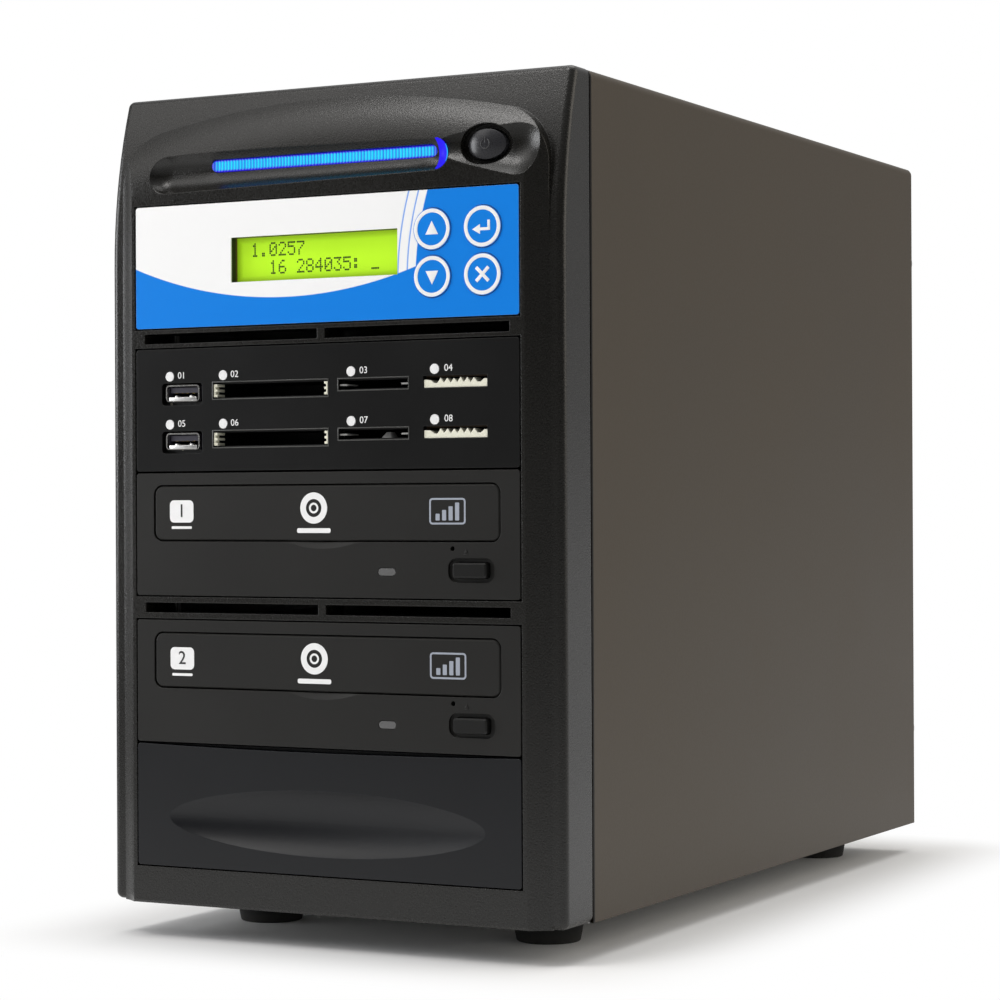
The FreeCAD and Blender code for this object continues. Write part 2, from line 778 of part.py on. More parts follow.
def power_supply():
    """Power supply: tray, lid, board, fan, mains inlet and mains switch."""
    half = psu_width / 2
    wall = cover_gauge
    inner = half - wall
    tray = fused([
        box(-inner, inner, psu_front, psu_rear, psu_z, psu_z + wall),
        box(-inner, inner, psu_front, psu_front + wall, psu_z, psu_top - wall),
        box(-inner, inner, psu_rear - wall, psu_rear, psu_z, psu_top - wall),
    ])
    cuts = grille_slots(psu_fan_x, psu_fan_z, psu_rear - 2, psu_rear + 1)
    cuts.append(inlet_body(slip, psu_rear - 2, psu_rear + 1))
    cuts.append(switch_body_block(slip, psu_rear - 2, psu_rear + 1))
    for x, z in psu_screws:
        cuts.append(hex_bar(screw_dia + 3 * slip, V(x, psu_rear - 2, z), V(x, psu_rear + 1, z)))
    keep("psu_case", tray.cut(cuts))
    side = box(inner, half, psu_front, psu_rear, psu_z, psu_top)
    keep("psu_lid", fused([box(-half, half, psu_front, psu_rear, psu_top - wall, psu_top)] + mirrored(side)))
    fan("psu_fan", psu_fan_x, psu_fan_z, psu_rear - wall)
    board_z = psu_z + wall + 5.0
    board_back = psu_rear - wall - fan_depth - 8
    board = box(-inner + 8, inner - 8, psu_front + 8, board_back, board_z, board_z + 1.6)
    posts = [hex_bar(6.0, V(x, y, psu_z + wall), V(x, y, board_z))
             for x in (-inner + 15, inner - 15) for y in (psu_front + 16, board_back - 8)]
    sinks = [box(x - 2, x + 2, psu_front + 18, board_back - 10, board_z + 1.6, board_z + 52)
             for x in (-35, 30)]
    core = box(-18, 14, psu_front + 40, psu_front + 76, board_z + 1.6, board_z + 38)
    keep("psu_board", fused([board, core] + posts + sinks))


def inlet_body(grow, y0, y1):
    """Outer block of the mains inlet; grown, it is the hole for it."""
    return slab(inlet_width + 2 * inlet_wall + 2 * grow, inlet_height + 2 * inlet_wall + 2 * grow,
                2.0 + grow, inlet_x, inlet_z, y0, y1)


def mains_inlet():
    """Mains inlet with a flange, a chamfered socket and three contact blades."""
    flange_y = psu_rear + 1.8
    body = inlet_body(0, psu_rear - inlet_depth, psu_rear)
    flange = slab(inlet_width + 8, inlet_height + 8, 3.0, inlet_x, inlet_z, psu_rear, flange_y)
    half = inlet_width / 2
    low = inlet_z - inlet_height / 2
    high = inlet_z + inlet_height / 2
    cut_corner = 5.0
    floor_y = psu_rear - inlet_depth + inlet_wall
    corners = ((-half, low), (half, low), (half, high - cut_corner), (half - cut_corner, high),
               (cut_corner - half, high), (-half, high - cut_corner))
    socket = prism([V(inlet_x + x, floor_y, z) for x, z in corners], V(0, inlet_depth + 10, 0))
    blades = []
    for dx, dz in ((-7.0, -2.0), (0.0, 2.0), (7.0, -2.0)):
        blades.append(box(inlet_x + dx - 1, inlet_x + dx + 1, floor_y, psu_rear - 1, inlet_z + dz - 2,
                          inlet_z + dz + 2))
    keep("mains_inlet", fused([body, flange]).cut(socket), *blades)


def switch_body_block(grow, y0, y1):
    """Outer block of the mains switch; grown, it is the hole for it."""
    width = rocker_width + 4 * slip + 2 * rocker_wall + 2 * grow
    height = rocker_length + 2 * rocker_play + 2 * rocker_wall + 2 * grow
    return box(inlet_x - width / 2, inlet_x + width / 2, y0, y1,
               rocker_z - height / 2, rocker_z + height / 2)


def mains_switch():
    """Switch body with pivot holes, and the rocker that tilts in it."""
    flange_y = psu_rear + 1.5
    pivot = V(inlet_x, psu_rear - 2.5, rocker_z)
    pin_dia = 2.4
    cavity_half = rocker_width / 2 + 2 * slip
    reach = rocker_length / 2 + rocker_play
    body = fused([switch_body_block(0, psu_rear - 12, psu_rear),
                  switch_body_block(2.0, psu_rear, flange_y)])
    body = body.cut([
        box(inlet_x - cavity_half, inlet_x + cavity_half, psu_rear - 10, flange_y + 1, rocker_z - reach,
            rocker_z + reach),
        rod(pin_dia + 2 * running, pivot.sub(V(cavity_half + 1.5, 0, 0)),
            pivot.add(V(cavity_half + 1.5, 0, 0))),
    ])
    keep("mains_switch_body", body)
    half = rocker_length / 2
    profile = ((-half, 4.5), (0, 3.0), (half, 4.5), (half, -1.0), (0, -3.5), (-half, -1.0))
    paddle = prism([pivot.add(V(-rocker_width / 2, y, z)) for z, y in profile], V(rocker_width, 0, 0))
    pin = rod(pin_dia, pivot.sub(V(cavity_half + 1.2, 0, 0)), pivot.add(V(cavity_half + 1.2, 0, 0)))
    rocker = fused([paddle, pin])
    rocker.rotate(pivot, X_AXIS, rocker_tilt)
    keep("mains_rocker", rocker)


def panel_shell(z0, y0, depth, wall):
    """Rounded bay panel with a pocket behind its front wall."""
    shell = slab(panel_width, panel_height, 1.0, 0, z0 + panel_height / 2, y0, y0 + depth)
    half = panel_width / 2 - panel_wall
    return shell.cut(box(-half, half, y0 + wall, y0 + depth + 1, z0 + panel_wall,
                         z0 + panel_height - panel_wall))


def bay_tray(z0):
    """Folded steel tray that carries a panel's electronics in its bay."""
    half = drive_width / 2
    floor_z = z0 + slip
    y0 = face_y + panel_depth
    y1 = y0 + tray_depth
    side = box(half - drive_gauge, half, y0, y1, floor_z, z0 + panel_height - 1)
    return fused([box(-half, half, y0, y1, floor_z, floor_z + drive_gauge)] + mirrored(side))


def display_panel():
    """Overlay, frame, display module, key board, four keys and the controller behind them."""
    window_x = (window_left + window_right) / 2
    window_width = window_right - window_left
    window_z = display_top - window_drop - window_height / 2
    frame_y = face_y + overlay_gauge
    wall_y = frame_y + panel_wall
    board_face = face_y + panel_depth
    places = {"key_up": (0, 0), "key_down": (0, 1), "key_enter": (1, 0), "key_escape": (1, 1)}

    def window(grow, y0, y1):
        return box(window_x - window_width / 2 - grow, window_x + window_width / 2 + grow, y0, y1,
                   window_z - window_height / 2 - grow, window_z + window_height / 2 + grow)

    cuts = [window(0, face_y - 1, wall_y + 1)]
    switches = []
    for name, (column, row) in places.items():
        x = key_columns[column]
        z = display_top - key_drops[row]
        cuts.append(rod(key_dia + 2 * slip, V(x, face_y - 1, z), V(x, wall_y + 1, z)))
        switch_y = board_face - 1.5
        switches.append(box(x - 3, x + 3, switch_y, board_face, z - 3, z + 3))
        cap = rod(key_dia, V(x, face_y - key_proud, z), V(x, wall_y + slip, z))
        flange = rod(key_dia + 6 * slip, V(x, wall_y + slip, z), V(x, wall_y + 1.2, z))
        stem = hex_bar(4.0, V(x, wall_y + 1.2, z), V(x, switch_y - key_travel - slip, z))
        keep(name, fused([cap, flange, stem]))
    overlay = slab(panel_width, panel_height, 1.0, 0, display_z + panel_height / 2, face_y, frame_y)
    keep("panel_overlay", overlay.cut(cuts))
    keep("panel_frame", panel_shell(display_z, frame_y, panel_depth - overlay_gauge, panel_wall).cut(cuts))
    lip = 1.0
    module = window(lcd_border, wall_y, wall_y + lcd_depth)
    module = module.cut([window(0, wall_y - 1, wall_y + lcd_depth),
                         window(2.0, wall_y + lip, wall_y + lcd_depth + 1)])
    keep("lcd_frame", module)
    keep("lcd_glass", window(2.0 - slip, wall_y + lip, wall_y + lcd_depth - lip))
    half = panel_width / 2 - 2.0
    board = box(-half, half, board_face, board_face + board_gauge, display_z + 2, display_top - 2)
    keep("key_board", fused([board] + switches))

    tray = bay_tray(display_z)
    floor_z = display_z + slip + drive_gauge
    board_z = floor_z + 5.0
    y0 = board_face + 12
    y1 = board_face + tray_depth - 8
    posts = [hex_bar(6.0, V(x, y, floor_z), V(x, y, board_z))
             for x in (-58, 58) for y in (y0 + 6, y1 - 6)]
    keep("controller_tray", fused([tray] + posts))
    top = board_z + board_gauge
    parts = [box(-64, 64, y0, y1, board_z, top), box(-16, 16, y0 + 20, y0 + 52, top, top + 3)]
    for number in range(8):
        x = -15 + number * 4
        parts.append(box(x, x + 1.6, y0 + 20, y0 + 52, top + 3, top + 12))
    for number in range(4):
        x = 26 + number * 9
        parts.append(box(x, x + 5, y1 - 16, y1, top, top + 9))
    parts.append(box(-56, -34, y1 - 12, y1, top, top + 10))
    keep("controller_board", fused(parts))


def slot_housing(x, z, width, height, plane_z):
    """Card slot: a block on its board with a blind mouth."""
    y0 = face_y + panel_wall
    half = width / 2
    block = box(x - half - slot_wall, x + half + slot_wall, y0, y0 + slot_length, plane_z,
                z + height / 2 + slot_wall)
    return block.cut(box(x - half, x + half, y0 - 1, y0 + slot_length - slot_wall,
                         z - height / 2, z + height / 2))


def card_reader():
    """Reader panel with two rows of sockets and slots on two boards."""
    top = reader_z + panel_height
    wall_y = face_y + panel_wall
    plane_drop = 3.4
    bezel = panel_shell(reader_z, face_y, panel_depth, panel_wall)
    cuts = []
    kinds = {"usb_ports": [], "cf_slots": [], "sd_slots": [], "ms_slots": []}
    boards = []
    lenses = []
    floor_z = reader_z + slip + drive_gauge
    for drop in reversed(reader_rows):
        row_z = top - drop
        plane_z = row_z - plane_drop
        usb_z = row_z - usb_sink
        y1 = wall_y + slot_length / 2
        usb_top = usb_z + usb_height / 2
        shell = slab(usb_width, usb_top - plane_z, usb_corner, usb_x, (usb_top + plane_z) / 2,
                     face_y + 0.4, y1)
        bore_low = usb_z - usb_height / 2 + 0.8
        bore_high = usb_top - usb_wall
        bore = slab(usb_width - 2 * usb_wall, bore_high - bore_low, usb_corner - usb_wall, usb_x,
                    (bore_low + bore_high) / 2, face_y - 1, y1 - 1)
        tongue = box(usb_x - 5.5, usb_x + 5.5, face_y + 1.6, y1 - 0.5, usb_z + 0.4, usb_z + 2.2)
        kinds["usb_ports"].append(fused([shell.cut(bore), tongue]))
        cuts.append(slab(usb_width + 2 * usb_margin, usb_height + usb_margin, 1.2, usb_x, usb_z - 0.1,
                         face_y - 1, wall_y + 1))
        slots = (("cf_slots", cf_x, row_z, cf_width, cf_height),
                 ("sd_slots", sd_x, row_z + sd_lift, sd_width, sd_height),
                 ("ms_slots", ms_x, row_z + ms_lift, ms_width, ms_height))
        for kind, x, z, width, height in slots:
            kinds[kind].append(slot_housing(x, z, width, height, plane_z))
            half_x = width / 2 + slot_side_margin
            half_z = height / 2 + slot_edge_margin
            cuts.append(box(x - half_x, x + half_x, face_y - 1, wall_y + 1, z - half_z, z + half_z))
        for x in lens_columns:
            z = row_z + lens_lift
            cuts.append(rod(lens_dia + 2 * slip, V(x, face_y - 1, z), V(x, wall_y + 1, z)))
            lenses.append(rod(lens_dia, V(x, face_y, z), V(x, wall_y, z)))
        board_z = plane_z - board_gauge
        board = box(-70, 70, wall_y + slip, face_y + 65, board_z, plane_z)
        posts = [hex_bar(6.0, V(x, y, floor_z), V(x, y, board_z))
                 for x in (-60, 60) for y in (face_y + 45, face_y + 58)]
        boards.append(fused([board] + posts))
        floor_z = plane_z
    keep("reader_bezel", bezel.cut(cuts))
    for kind, solids in kinds.items():
        keep(kind, *solids)
    keep("reader_boards", *boards)
    keep("reader_tray", bay_tray(reader_z))
    return lenses


def blank_bay_cover():
    """Blanking panel with a lens-shaped finger scoop and two arms that run into the cage."""
    shell = panel_shell(blank_z, face_y, panel_depth + 4, blank_wall)
    girth = (blank_scoop_half_height ** 2 / blank_scoop_depth + blank_scoop_depth) / 2
    sweep = (blank_scoop_half_width ** 2 / blank_scoop_depth + blank_scoop_depth) / 2
    end = math.sqrt(2 * sweep * girth - girth ** 2)
    centre = V(0, face_y + blank_scoop_depth - girth, blank_z + panel_height - blank_scoop_drop)
    left = centre.sub(V(end, 0, 0))
    right = centre.add(V(end, 0, 0))
    half_lens = Part.Wire([Part.Arc(left, centre.add(V(0, girth, 0)), right).toShape(),
                           Part.LineSegment(right, left).toShape()])
    scoop = Part.Face(half_lens).revolve(centre, X_AXIS, 360)
    bow = ((panel_width / 2) ** 2 / blank_top_dip + blank_top_dip) / 2
    bow_z = blank_z + panel_height - blank_top_dip + bow
    dip = rod(2 * bow, V(0, face_y - 1, bow_z), V(0, face_y + blank_wall - panel_wall, bow_z))
    arm = box(cage_half - 1.2, cage_half - slip, face_y + panel_depth, face_y + blank_arm_reach,
              blank_z + 12, blank_z + 28)
    keep("blank_bay_cover", fused([shell.cut([scoop, dip])] + mirrored(arm)))


def drive_lens(z, grow, y0, y1):
    """Small round-ended lens of a drive; grown, it is the hole for it."""
    height = drive_lens_height + 2 * grow
    return slab(drive_lens_width + 2 * grow, height, height / 2, drive_lens_x, z, y0, y1)


def disc_drive(name, z0):
    """One disc drive: bezel, case, lid, deck, spindle, tray with its front, and eject button."""
    top = z0 + panel_height
    tray_z = top - tray_front_drop - tray_front_height / 2
    eject_z = z0 + eject_rise
    lens_z = z0 + drive_lens_rise
    front_bottom = tray_z - tray_front_height / 2
    through = (face_y - 1, face_y + drive_bezel_depth + 1)
    bezel = panel_shell(z0, face_y, drive_bezel_depth, panel_wall)
    arc_radius = ((dimple_width / 2) ** 2 + dimple_height ** 2) / (2 * dimple_height)
    ball_radius = (dimple_width / 2) ** 2 / (2 * dimple_depth)
    arc_z = front_bottom - dimple_height + arc_radius
    ball = Part.makeSphere(ball_radius, V(0, face_y - math.sqrt(ball_radius ** 2 - arc_radius ** 2), arc_z))
    dimple = ball.common(box(-dimple_width, dimple_width, face_y - 1, face_y + 2,
                             front_bottom - 4, front_bottom))
    keep(name + "_bezel", bezel.cut([
        slab(tray_front_width + 2 * tray_gap, tray_front_height + 2 * tray_gap, tray_front_radius + tray_gap,
             0, tray_z, *through),
        slab(eject_width + 4.4, eject_height + 2.8, 3.0, eject_x, eject_z, face_y - 1, face_y + 1.2),
        slab(eject_width + 2 * slip, eject_height + 2 * slip, eject_corner + slip, eject_x, eject_z,
             *through),
        drive_lens(lens_z, slip, *through),
        rod(hole_dia, V(hole_x, through[0], z0 + hole_rise), V(hole_x, through[1], z0 + hole_rise)),
        dimple,
    ]))
    wall_y = face_y + panel_wall
    cap = slab(eject_width, eject_height, eject_corner, eject_x, eject_z, face_y - eject_proud, wall_y + slip)
    rim = [edge for edge in cap.Edges if edge.BoundBox.YMax < face_y]
    cap = cap.makeChamfer(eject_chamfer, rim)
    half_x = eject_width / 2 + 1.5
    half_z = eject_height / 2 + 1.2
    flange = box(eject_x - half_x, eject_x + half_x, wall_y + slip, wall_y + 1.4,
                 eject_z - half_z, eject_z + half_z)
    keep(name + "_eject_button", fused([cap, flange]))

    half = drive_width / 2
    y0 = face_y + drive_bezel_depth + slip
    y1 = face_y + drive_depth
    floor_z = z0 + slip + drive_gauge
    lid_z = top - slip - drive_gauge
    keep(name + "_case", fused([
        box(-half, half, y0, y1, z0 + slip, floor_z),
        box(-half, half, y1 - drive_gauge, y1, z0 + slip, lid_z),
    ] + mirrored(box(half - drive_gauge, half, y0, y1, z0 + slip, lid_z))))
    lip = half - drive_gauge - slip
    keep(name + "_lid", fused([box(-half, half, y0, y1, lid_z, lid_z + drive_gauge)] +
                              mirrored(box(lip - drive_gauge, lip, y0, y1 - 2, lid_z - 5, lid_z))))

    tray_bottom = tray_z - tray_height / 2
    tray_top = tray_z + tray_height / 2
    play = 0.3
    wall_x = tray_width / 2 + 2 * play
    rail_y0 = y0 + 2
    rail_y1 = y1 - drive_gauge - slip
    motor_top = z0 + 12
    rails = []
    for part in (box(wall_x, lip, rail_y0, rail_y1, floor_z, tray_top + play + 2),
                 box(wall_x - 7, wall_x, rail_y0, rail_y1, tray_bottom - play - 3, tray_bottom - play),
                 box(wall_x - 2.8, wall_x, rail_y0, rail_y1, tray_top + play, tray_top + play + 2)):
        rails += mirrored(part)
    deck = fused([
        box(-lip, lip, rail_y0, rail_y1, floor_z, floor_z + 2.5),
        rod(26.0, V(0, disc_y, floor_z), V(0, disc_y, motor_top)),
        box(-22, 22, disc_y + 26, disc_y + 54, floor_z, z0 + 15),
    ] + rails)
    shaft_dia = 3.0
    bearing = rod(shaft_dia + 2 * running, V(0, disc_y, floor_z + 3.5), V(0, disc_y, motor_top + 1))
    keep(name + "_deck", deck.cut(bearing))
    keep(name + "_spindle", fused([
        rod(shaft_dia, V(0, disc_y, floor_z + 4), V(0, disc_y, motor_top + 2)),
        rod(turntable_dia, V(0, disc_y, motor_top + play), V(0, disc_y, motor_top + 3)),
        Part.makeCone(7.4, 6.0, 3.5, V(0, disc_y, motor_top + 3), Z_AXIS),
    ]))

    tray_y = face_y + panel_wall + 0.5
    front = slab(tray_front_width, tray_front_height, tray_front_radius, 0, tray_z, face_y, tray_y)
    rim = [edge for edge in front.Edges if edge.BoundBox.YMax < face_y + 0.1]
    keep(name + "_tray_front", front.makeChamfer(tray_front_chamfer, rim))
    plate = box(-tray_width / 2, tray_width / 2, tray_y, tray_y + tray_length, tray_bottom, tray_top)
    opening = 36.0
    keep(name + "_tray", plate.cut([
        rod(disc_dia, V(0, disc_y, tray_top - disc_recess), V(0, disc_y, tray_top + 1)),
        rod(small_disc_dia, V(0, disc_y, tray_top - disc_recess - 1), V(0, disc_y, tray_top + 1)),
        rod(opening, V(0, disc_y, tray_bottom - 1), V(0, disc_y, tray_top + 1)),
        box(-opening / 2, opening / 2, disc_y, disc_y + 56, tray_bottom - 1, tray_top + 1),
    ]))
    return drive_lens(lens_z, 0, face_y, wall_y + 2)


def main():
    """Make every piece and write one file for each node."""
    front_bezel()
    light_bar()
    power_button()
    light_board()
    wrap_cover()
    base_pan()
    front_plate()
    rear_panel()
    feet()
    drive_cage()
    cover_thumbscrews()
    rear_screws()
    fan("exhaust_fan", 0, fan_z, rear_sheet_y)
    power_supply()
    mains_inlet()
    mains_switch()
    display_panel()
    lenses = card_reader()
    blank_bay_cover()
    lenses.append(disc_drive("upper_drive", upper_z))
    lenses.append(disc_drive("lower_drive", lower_z))
    keep("indicator_lenses", *lenses)
    os.makedirs("parts", exist_ok=True)
    for name, shape in nodes.items():
        shape.exportStep("parts/" + name + ".step")
    print(len(nodes), "nodes")


main()
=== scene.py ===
"""Looks of a tower duplicator for discs and flash cards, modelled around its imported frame."""

import math

import bmesh
import bpy
from bpy.props import FloatProperty, FloatVectorProperty, PointerProperty
from mathutils import Matrix, Vector


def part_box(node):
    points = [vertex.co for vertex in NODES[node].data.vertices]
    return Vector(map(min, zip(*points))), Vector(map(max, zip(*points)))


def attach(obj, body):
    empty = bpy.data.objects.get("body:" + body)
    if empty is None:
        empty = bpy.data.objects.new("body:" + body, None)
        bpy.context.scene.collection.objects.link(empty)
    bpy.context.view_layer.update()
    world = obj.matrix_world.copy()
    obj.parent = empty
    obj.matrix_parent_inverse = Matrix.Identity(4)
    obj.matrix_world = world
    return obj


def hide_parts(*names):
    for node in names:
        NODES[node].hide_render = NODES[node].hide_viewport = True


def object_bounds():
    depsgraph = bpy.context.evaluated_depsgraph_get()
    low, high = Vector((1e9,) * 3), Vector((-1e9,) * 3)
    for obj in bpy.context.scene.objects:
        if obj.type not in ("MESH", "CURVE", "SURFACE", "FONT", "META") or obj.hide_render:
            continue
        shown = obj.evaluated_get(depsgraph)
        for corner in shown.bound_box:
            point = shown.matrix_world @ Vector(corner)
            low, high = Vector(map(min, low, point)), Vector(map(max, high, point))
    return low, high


bl_info = {
    "name": "Duplicator Tower Looks",
    "version": (1, 0, 0),
    "blender": (4, 5, 0),
    "location": "View3D > Sidebar > Duplicator",
    "description": "Models the fine pieces, finishes and stage of a disc and card duplicator tower",
    "category": "Object",
}

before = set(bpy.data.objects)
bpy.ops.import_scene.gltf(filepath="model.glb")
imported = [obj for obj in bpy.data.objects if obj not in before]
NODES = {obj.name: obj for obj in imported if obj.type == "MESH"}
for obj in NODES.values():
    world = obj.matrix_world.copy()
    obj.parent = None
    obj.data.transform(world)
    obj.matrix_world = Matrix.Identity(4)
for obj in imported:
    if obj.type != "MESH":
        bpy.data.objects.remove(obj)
CAD_BOX = [list(corner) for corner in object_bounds()]
MM = 0.001
TURN = 2 * math.pi


def python_operator(operation, reflected=False):
    """Method that turns a Python operator into one Math node; a reflected one swaps its two terms."""

    def method(self, other):
        terms = (other, self) if reflected else (self, other)
        return self.math(operation, *terms)

    return method


class Number:
    """A shader socket that carries a number; arithmetic on it adds Math nodes."""

    def __init__(self, shade, socket):
        self.shade = shade
        self.socket = socket

    def math(self, operation, *terms):
        """One Math node over the given terms."""
        node = self.shade.node("ShaderNodeMath", {"operation": operation}, dict(enumerate(terms)))
        return Number(self.shade, node.outputs[0])

    __add__ = __radd__ = python_operator("ADD")
    __sub__ = python_operator("SUBTRACT")
    __rsub__ = python_operator("SUBTRACT", reflected=True)
    __mul__ = __rmul__ = python_operator("MULTIPLY")
    __truediv__ = python_operator("DIVIDE")
    __rtruediv__ = python_operator("DIVIDE", reflected=True)
    __pow__ = python_operator("POWER")
    __rpow__ = python_operator("POWER", reflected=True)
    __gt__ = python_operator("GREATER_THAN")
    __lt__ = python_operator("LESS_THAN")

    def __abs__(self):
        return self.math("ABSOLUTE", self)

    def low(self, other):
        """The smaller of the two."""
        return self.math("MINIMUM", self, other)

    def high(self, other):
        """The larger of the two."""
        return self.math("MAXIMUM", self, other)

    def wave(self, length, shift=0.0):
        """Sine of the given wavelength, its angle moved by shift."""
        angle = self * (TURN / length) + shift
        return angle.math("SINE", angle)

    def sway(self, amount):
        """A number about 0.5 turned into a swing about nought, times the amount."""
        return (self - 0.5) * amount

    def step(self, start, end):
        """Smooth climb from 0 at start to 1 at end; a falling one where end is the smaller."""
        if end < start:
            return 1 - self.step(end, start)
        node = self.shade.node("ShaderNodeMapRange", {"interpolation_type": "SMOOTHSTEP"},
                               {"Value": self, "From Min": start, "From Max": end})
        return Number(self.shade, node.outputs["Result"])


def scaled(colour, factor):
    """The colour made lighter or darker."""
    return [min(1.0, channel * factor) for channel in colour]


def distance(first, second):
    """Length of a way given by its two parts at right angles."""
    return (first ** 2.0 + second ** 2.0) ** 0.5


class Shade:
    """Node tree of one material or of the world, filled by short calls."""

    def __init__(self, owner):
        owner.use_nodes = True
        self.owner = owner
        self.tree = owner.node_tree
        self.tree.nodes.clear()

    def node(self, kind, settings=None, inputs=None):
        """Any node: its settings are set first, then the values or links of its sockets."""
        node = self.tree.nodes.new(kind)
        for key, value in (settings or {}).items():
            setattr(node, key, value)
        for key, value in (inputs or {}).items():
            socket = node.inputs[key]
            value = getattr(value, "socket", value)
            if isinstance(value, bpy.types.NodeSocket):
                self.tree.links.new(value, socket)
            elif socket.type == "RGBA" and len(value) == 3:
                socket.default_value = (*value, 1.0)
            else:
                socket.default_value = value
        return node

    def spot(self):
        """Place on the piece as a vector."""
        return self.node("ShaderNodeTexCoord").outputs["Object"]

    def split(self, vector):
        """X, Y and Z of a vector."""
        node = self.node("ShaderNodeSeparateXYZ", None, {0: vector})
        return [Number(self, socket) for socket in node.outputs]

    def place(self):
        """X, Y and Z on the piece, in metres."""
        return self.split(self.spot())

    def rays(self, *kinds):
        """For each kind of ray, 1 where the ray is of that kind."""
        path = self.node("ShaderNodeLightPath")
        return [Number(self, path.outputs[f"Is {kind} Ray"]) for kind in kinds]

    def noise(self, size, detail=2.0, stretch=(1, 1, 1)):
        """Noise whose spots are about size metres across."""
        mapping = self.node("ShaderNodeMapping", None, {"Vector": self.spot(), "Scale": stretch})
        node = self.node("ShaderNodeTexNoise", None,
                         {"Vector": mapping.outputs[0], "Scale": 1 / size, "Detail": detail})
        return Number(self, node.outputs[0])

    def cells(self, size):
        """Distance within cells that are about size metres across."""
        node = self.node("ShaderNodeTexVoronoi", None, {"Vector": self.spot(), "Scale": 1 / size})
        return Number(self, node.outputs["Distance"])

    def blend(self, mask, start, end):
        """Colour that goes from start to end with the mask."""
        node = self.node("ShaderNodeMix", {"data_type": "RGBA"}, {0: mask, 6: start, 7: end})
        return node.outputs[2]

    def tint(self, mask, colour, dark, light):
        """One colour between a darker and a lighter shade of it."""
        return self.blend(mask, scaled(colour, dark), scaled(colour, light))

    def edges(self, radius):
        """Normal with its edges rounded, and a mask that is 1 along them."""
        soft = self.node("ShaderNodeBevel", {"samples": 4}, {"Radius": radius}).outputs[0]
        hard = self.node("ShaderNodeNewGeometry").outputs["Normal"]
        dot = self.node("ShaderNodeVectorMath", {"operation": "DOT_PRODUCT"}, {0: soft, 1: hard})
        flat, bent = 0.995, 0.8
        return soft, Number(self, dot.outputs["Value"]).step(flat, bent)

    def bump(self, height, depth, normal=None):
        """Normal of a surface raised by height times depth, in metres."""
        inputs = {"Height": height, "Distance": depth, "Strength": 1.0}
        if normal is not None:
            inputs["Normal"] = normal
        return self.node("ShaderNodeBump", None, inputs).outputs[0]

    def surface(self, **sockets):
        """Finishes the surface and gives its material; Base_Color stands for the socket Base Color."""
        named = {key.replace("_", " "): value for key, value in sockets.items()}
        shader = self.node("ShaderNodeBsdfPrincipled", None, named)
        self.node("ShaderNodeOutputMaterial", None, {"Surface": shader.outputs[0]})
        return self.owner


def finish(name):
    """The empty tree of a new material."""
    return Shade(bpy.data.materials.new(name))


SEAM_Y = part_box("wrap_cover")[0].y
READER_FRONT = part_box("reader_bezel")[0].y
PORTS = next(name for name in NODES if name.endswith("_ports"))
GUIDE_RIM = 2.0 * MM
RIB_START = GUIDE_RIM + 1.6 * MM


def moulded(name, colour, grain=0.45 * MM, depth=0.02 * MM, rough=0.44, shine=0.5, edge=0.35 * MM,
            rim=1.9, sparkle=0.16):
    """Moulded plastic: spark-textured skin, faint flow clouds, and edges made smoother and tinted by rim: at
    the default a polish from handling that is partly a painted highlight, far above it a painted highlight,
    below 1 a painted shadow.
    """
    shade = finish(name)
    soft, edge_mask = shade.edges(edge)
    skin = shade.noise(grain, detail=3.0)
    cloud = shade.noise(45 * MM, detail=3.0)
    base = shade.tint(cloud * 0.55 + skin * 0.45, colour, dark=0.72, light=1.28)
    # Edges blended towards the colour times rim: painted highlight where rim is large, painted shadow where
    # it is below 1
    base = shade.blend(edge_mask * 0.5, base, scaled(colour, rim))
    return shade.surface(Base_Color=base, Specular_IOR_Level=shine,
                         Roughness=rough + skin.sway(sparkle) + cloud.sway(0.1) - edge_mask * 0.1,
                         Normal=shade.bump(skin, depth, soft))


def powder_coat(name, colour):
    """Satin powder coat: orange peel, fine pits, thin coat on the edges and a painted shadow in the front
    joint.
    """
    shade = finish(name)
    soft, edge_mask = shade.edges(0.5 * MM)
    peel = shade.noise(0.9 * MM, detail=3.0)
    pits = shade.noise(0.25 * MM, detail=1.0)
    cloud = shade.noise(70 * MM, detail=3.0)
    # Painted shadow of the gap to the bezel: the cover's front hem turns near black and metallic, so it
    # shows no reflection
    seam_shadow = shade.place()[1].step(SEAM_Y + 1.5 * MM, SEAM_Y + 1.0 * MM)
    base = shade.tint(cloud * 0.6 + peel * 0.4, colour, dark=0.8, light=1.2)
    base = shade.blend(edge_mask * 0.3, base, scaled(colour, 1.7))
    base = shade.blend(seam_shadow, base, scaled(colour, 0.1))
    return shade.surface(Base_Color=base, Metallic=seam_shadow, Specular_IOR_Level=0.35,
                         Roughness=0.46 + peel.sway(0.12) + cloud.sway(0.08),
                         Normal=shade.bump(peel * 0.7 + pits * 0.3, 0.03 * MM, soft))


def plated(name, colour, rough=0.34, streak=(1, 1, 1)):
    """Plated steel: soft spangle, fine rolling streaks and brighter sheared edges."""
    shade = finish(name)
    soft, edge_mask = shade.edges(0.25 * MM)
    spangle = shade.cells(6 * MM)
    lines = shade.noise(1.2 * MM, stretch=streak)
    base = shade.tint(spangle * 0.5 + lines * 0.5, colour, dark=0.78, light=1.18)
    base = shade.blend(edge_mask * 0.6, base, scaled(colour, 1.4))
    return shade.surface(Base_Color=base, Metallic=1.0,
                         Roughness=rough + lines.sway(0.2) + spangle.sway(0.08),
                         Normal=shade.bump(lines, 0.01 * MM, soft))


def rubber(name, colour):
    """Matt rubber with mould speckle and dust near the floor."""
    shade = finish(name)
    speckle = shade.noise(0.4 * MM, detail=3.0)
    dust = shade.place()[2].step(5 * MM, 0.0) * shade.noise(3 * MM, detail=3.0)
    base = shade.tint(speckle, colour, dark=0.7, light=1.4)
    base = shade.blend(dust * 0.5, base, (0.09, 0.085, 0.075))
    return shade.surface(Base_Color=base, Roughness=0.78 + speckle.sway(0.2), Specular_IOR_Level=0.3,
                         Normal=shade.bump(speckle, 0.03 * MM))


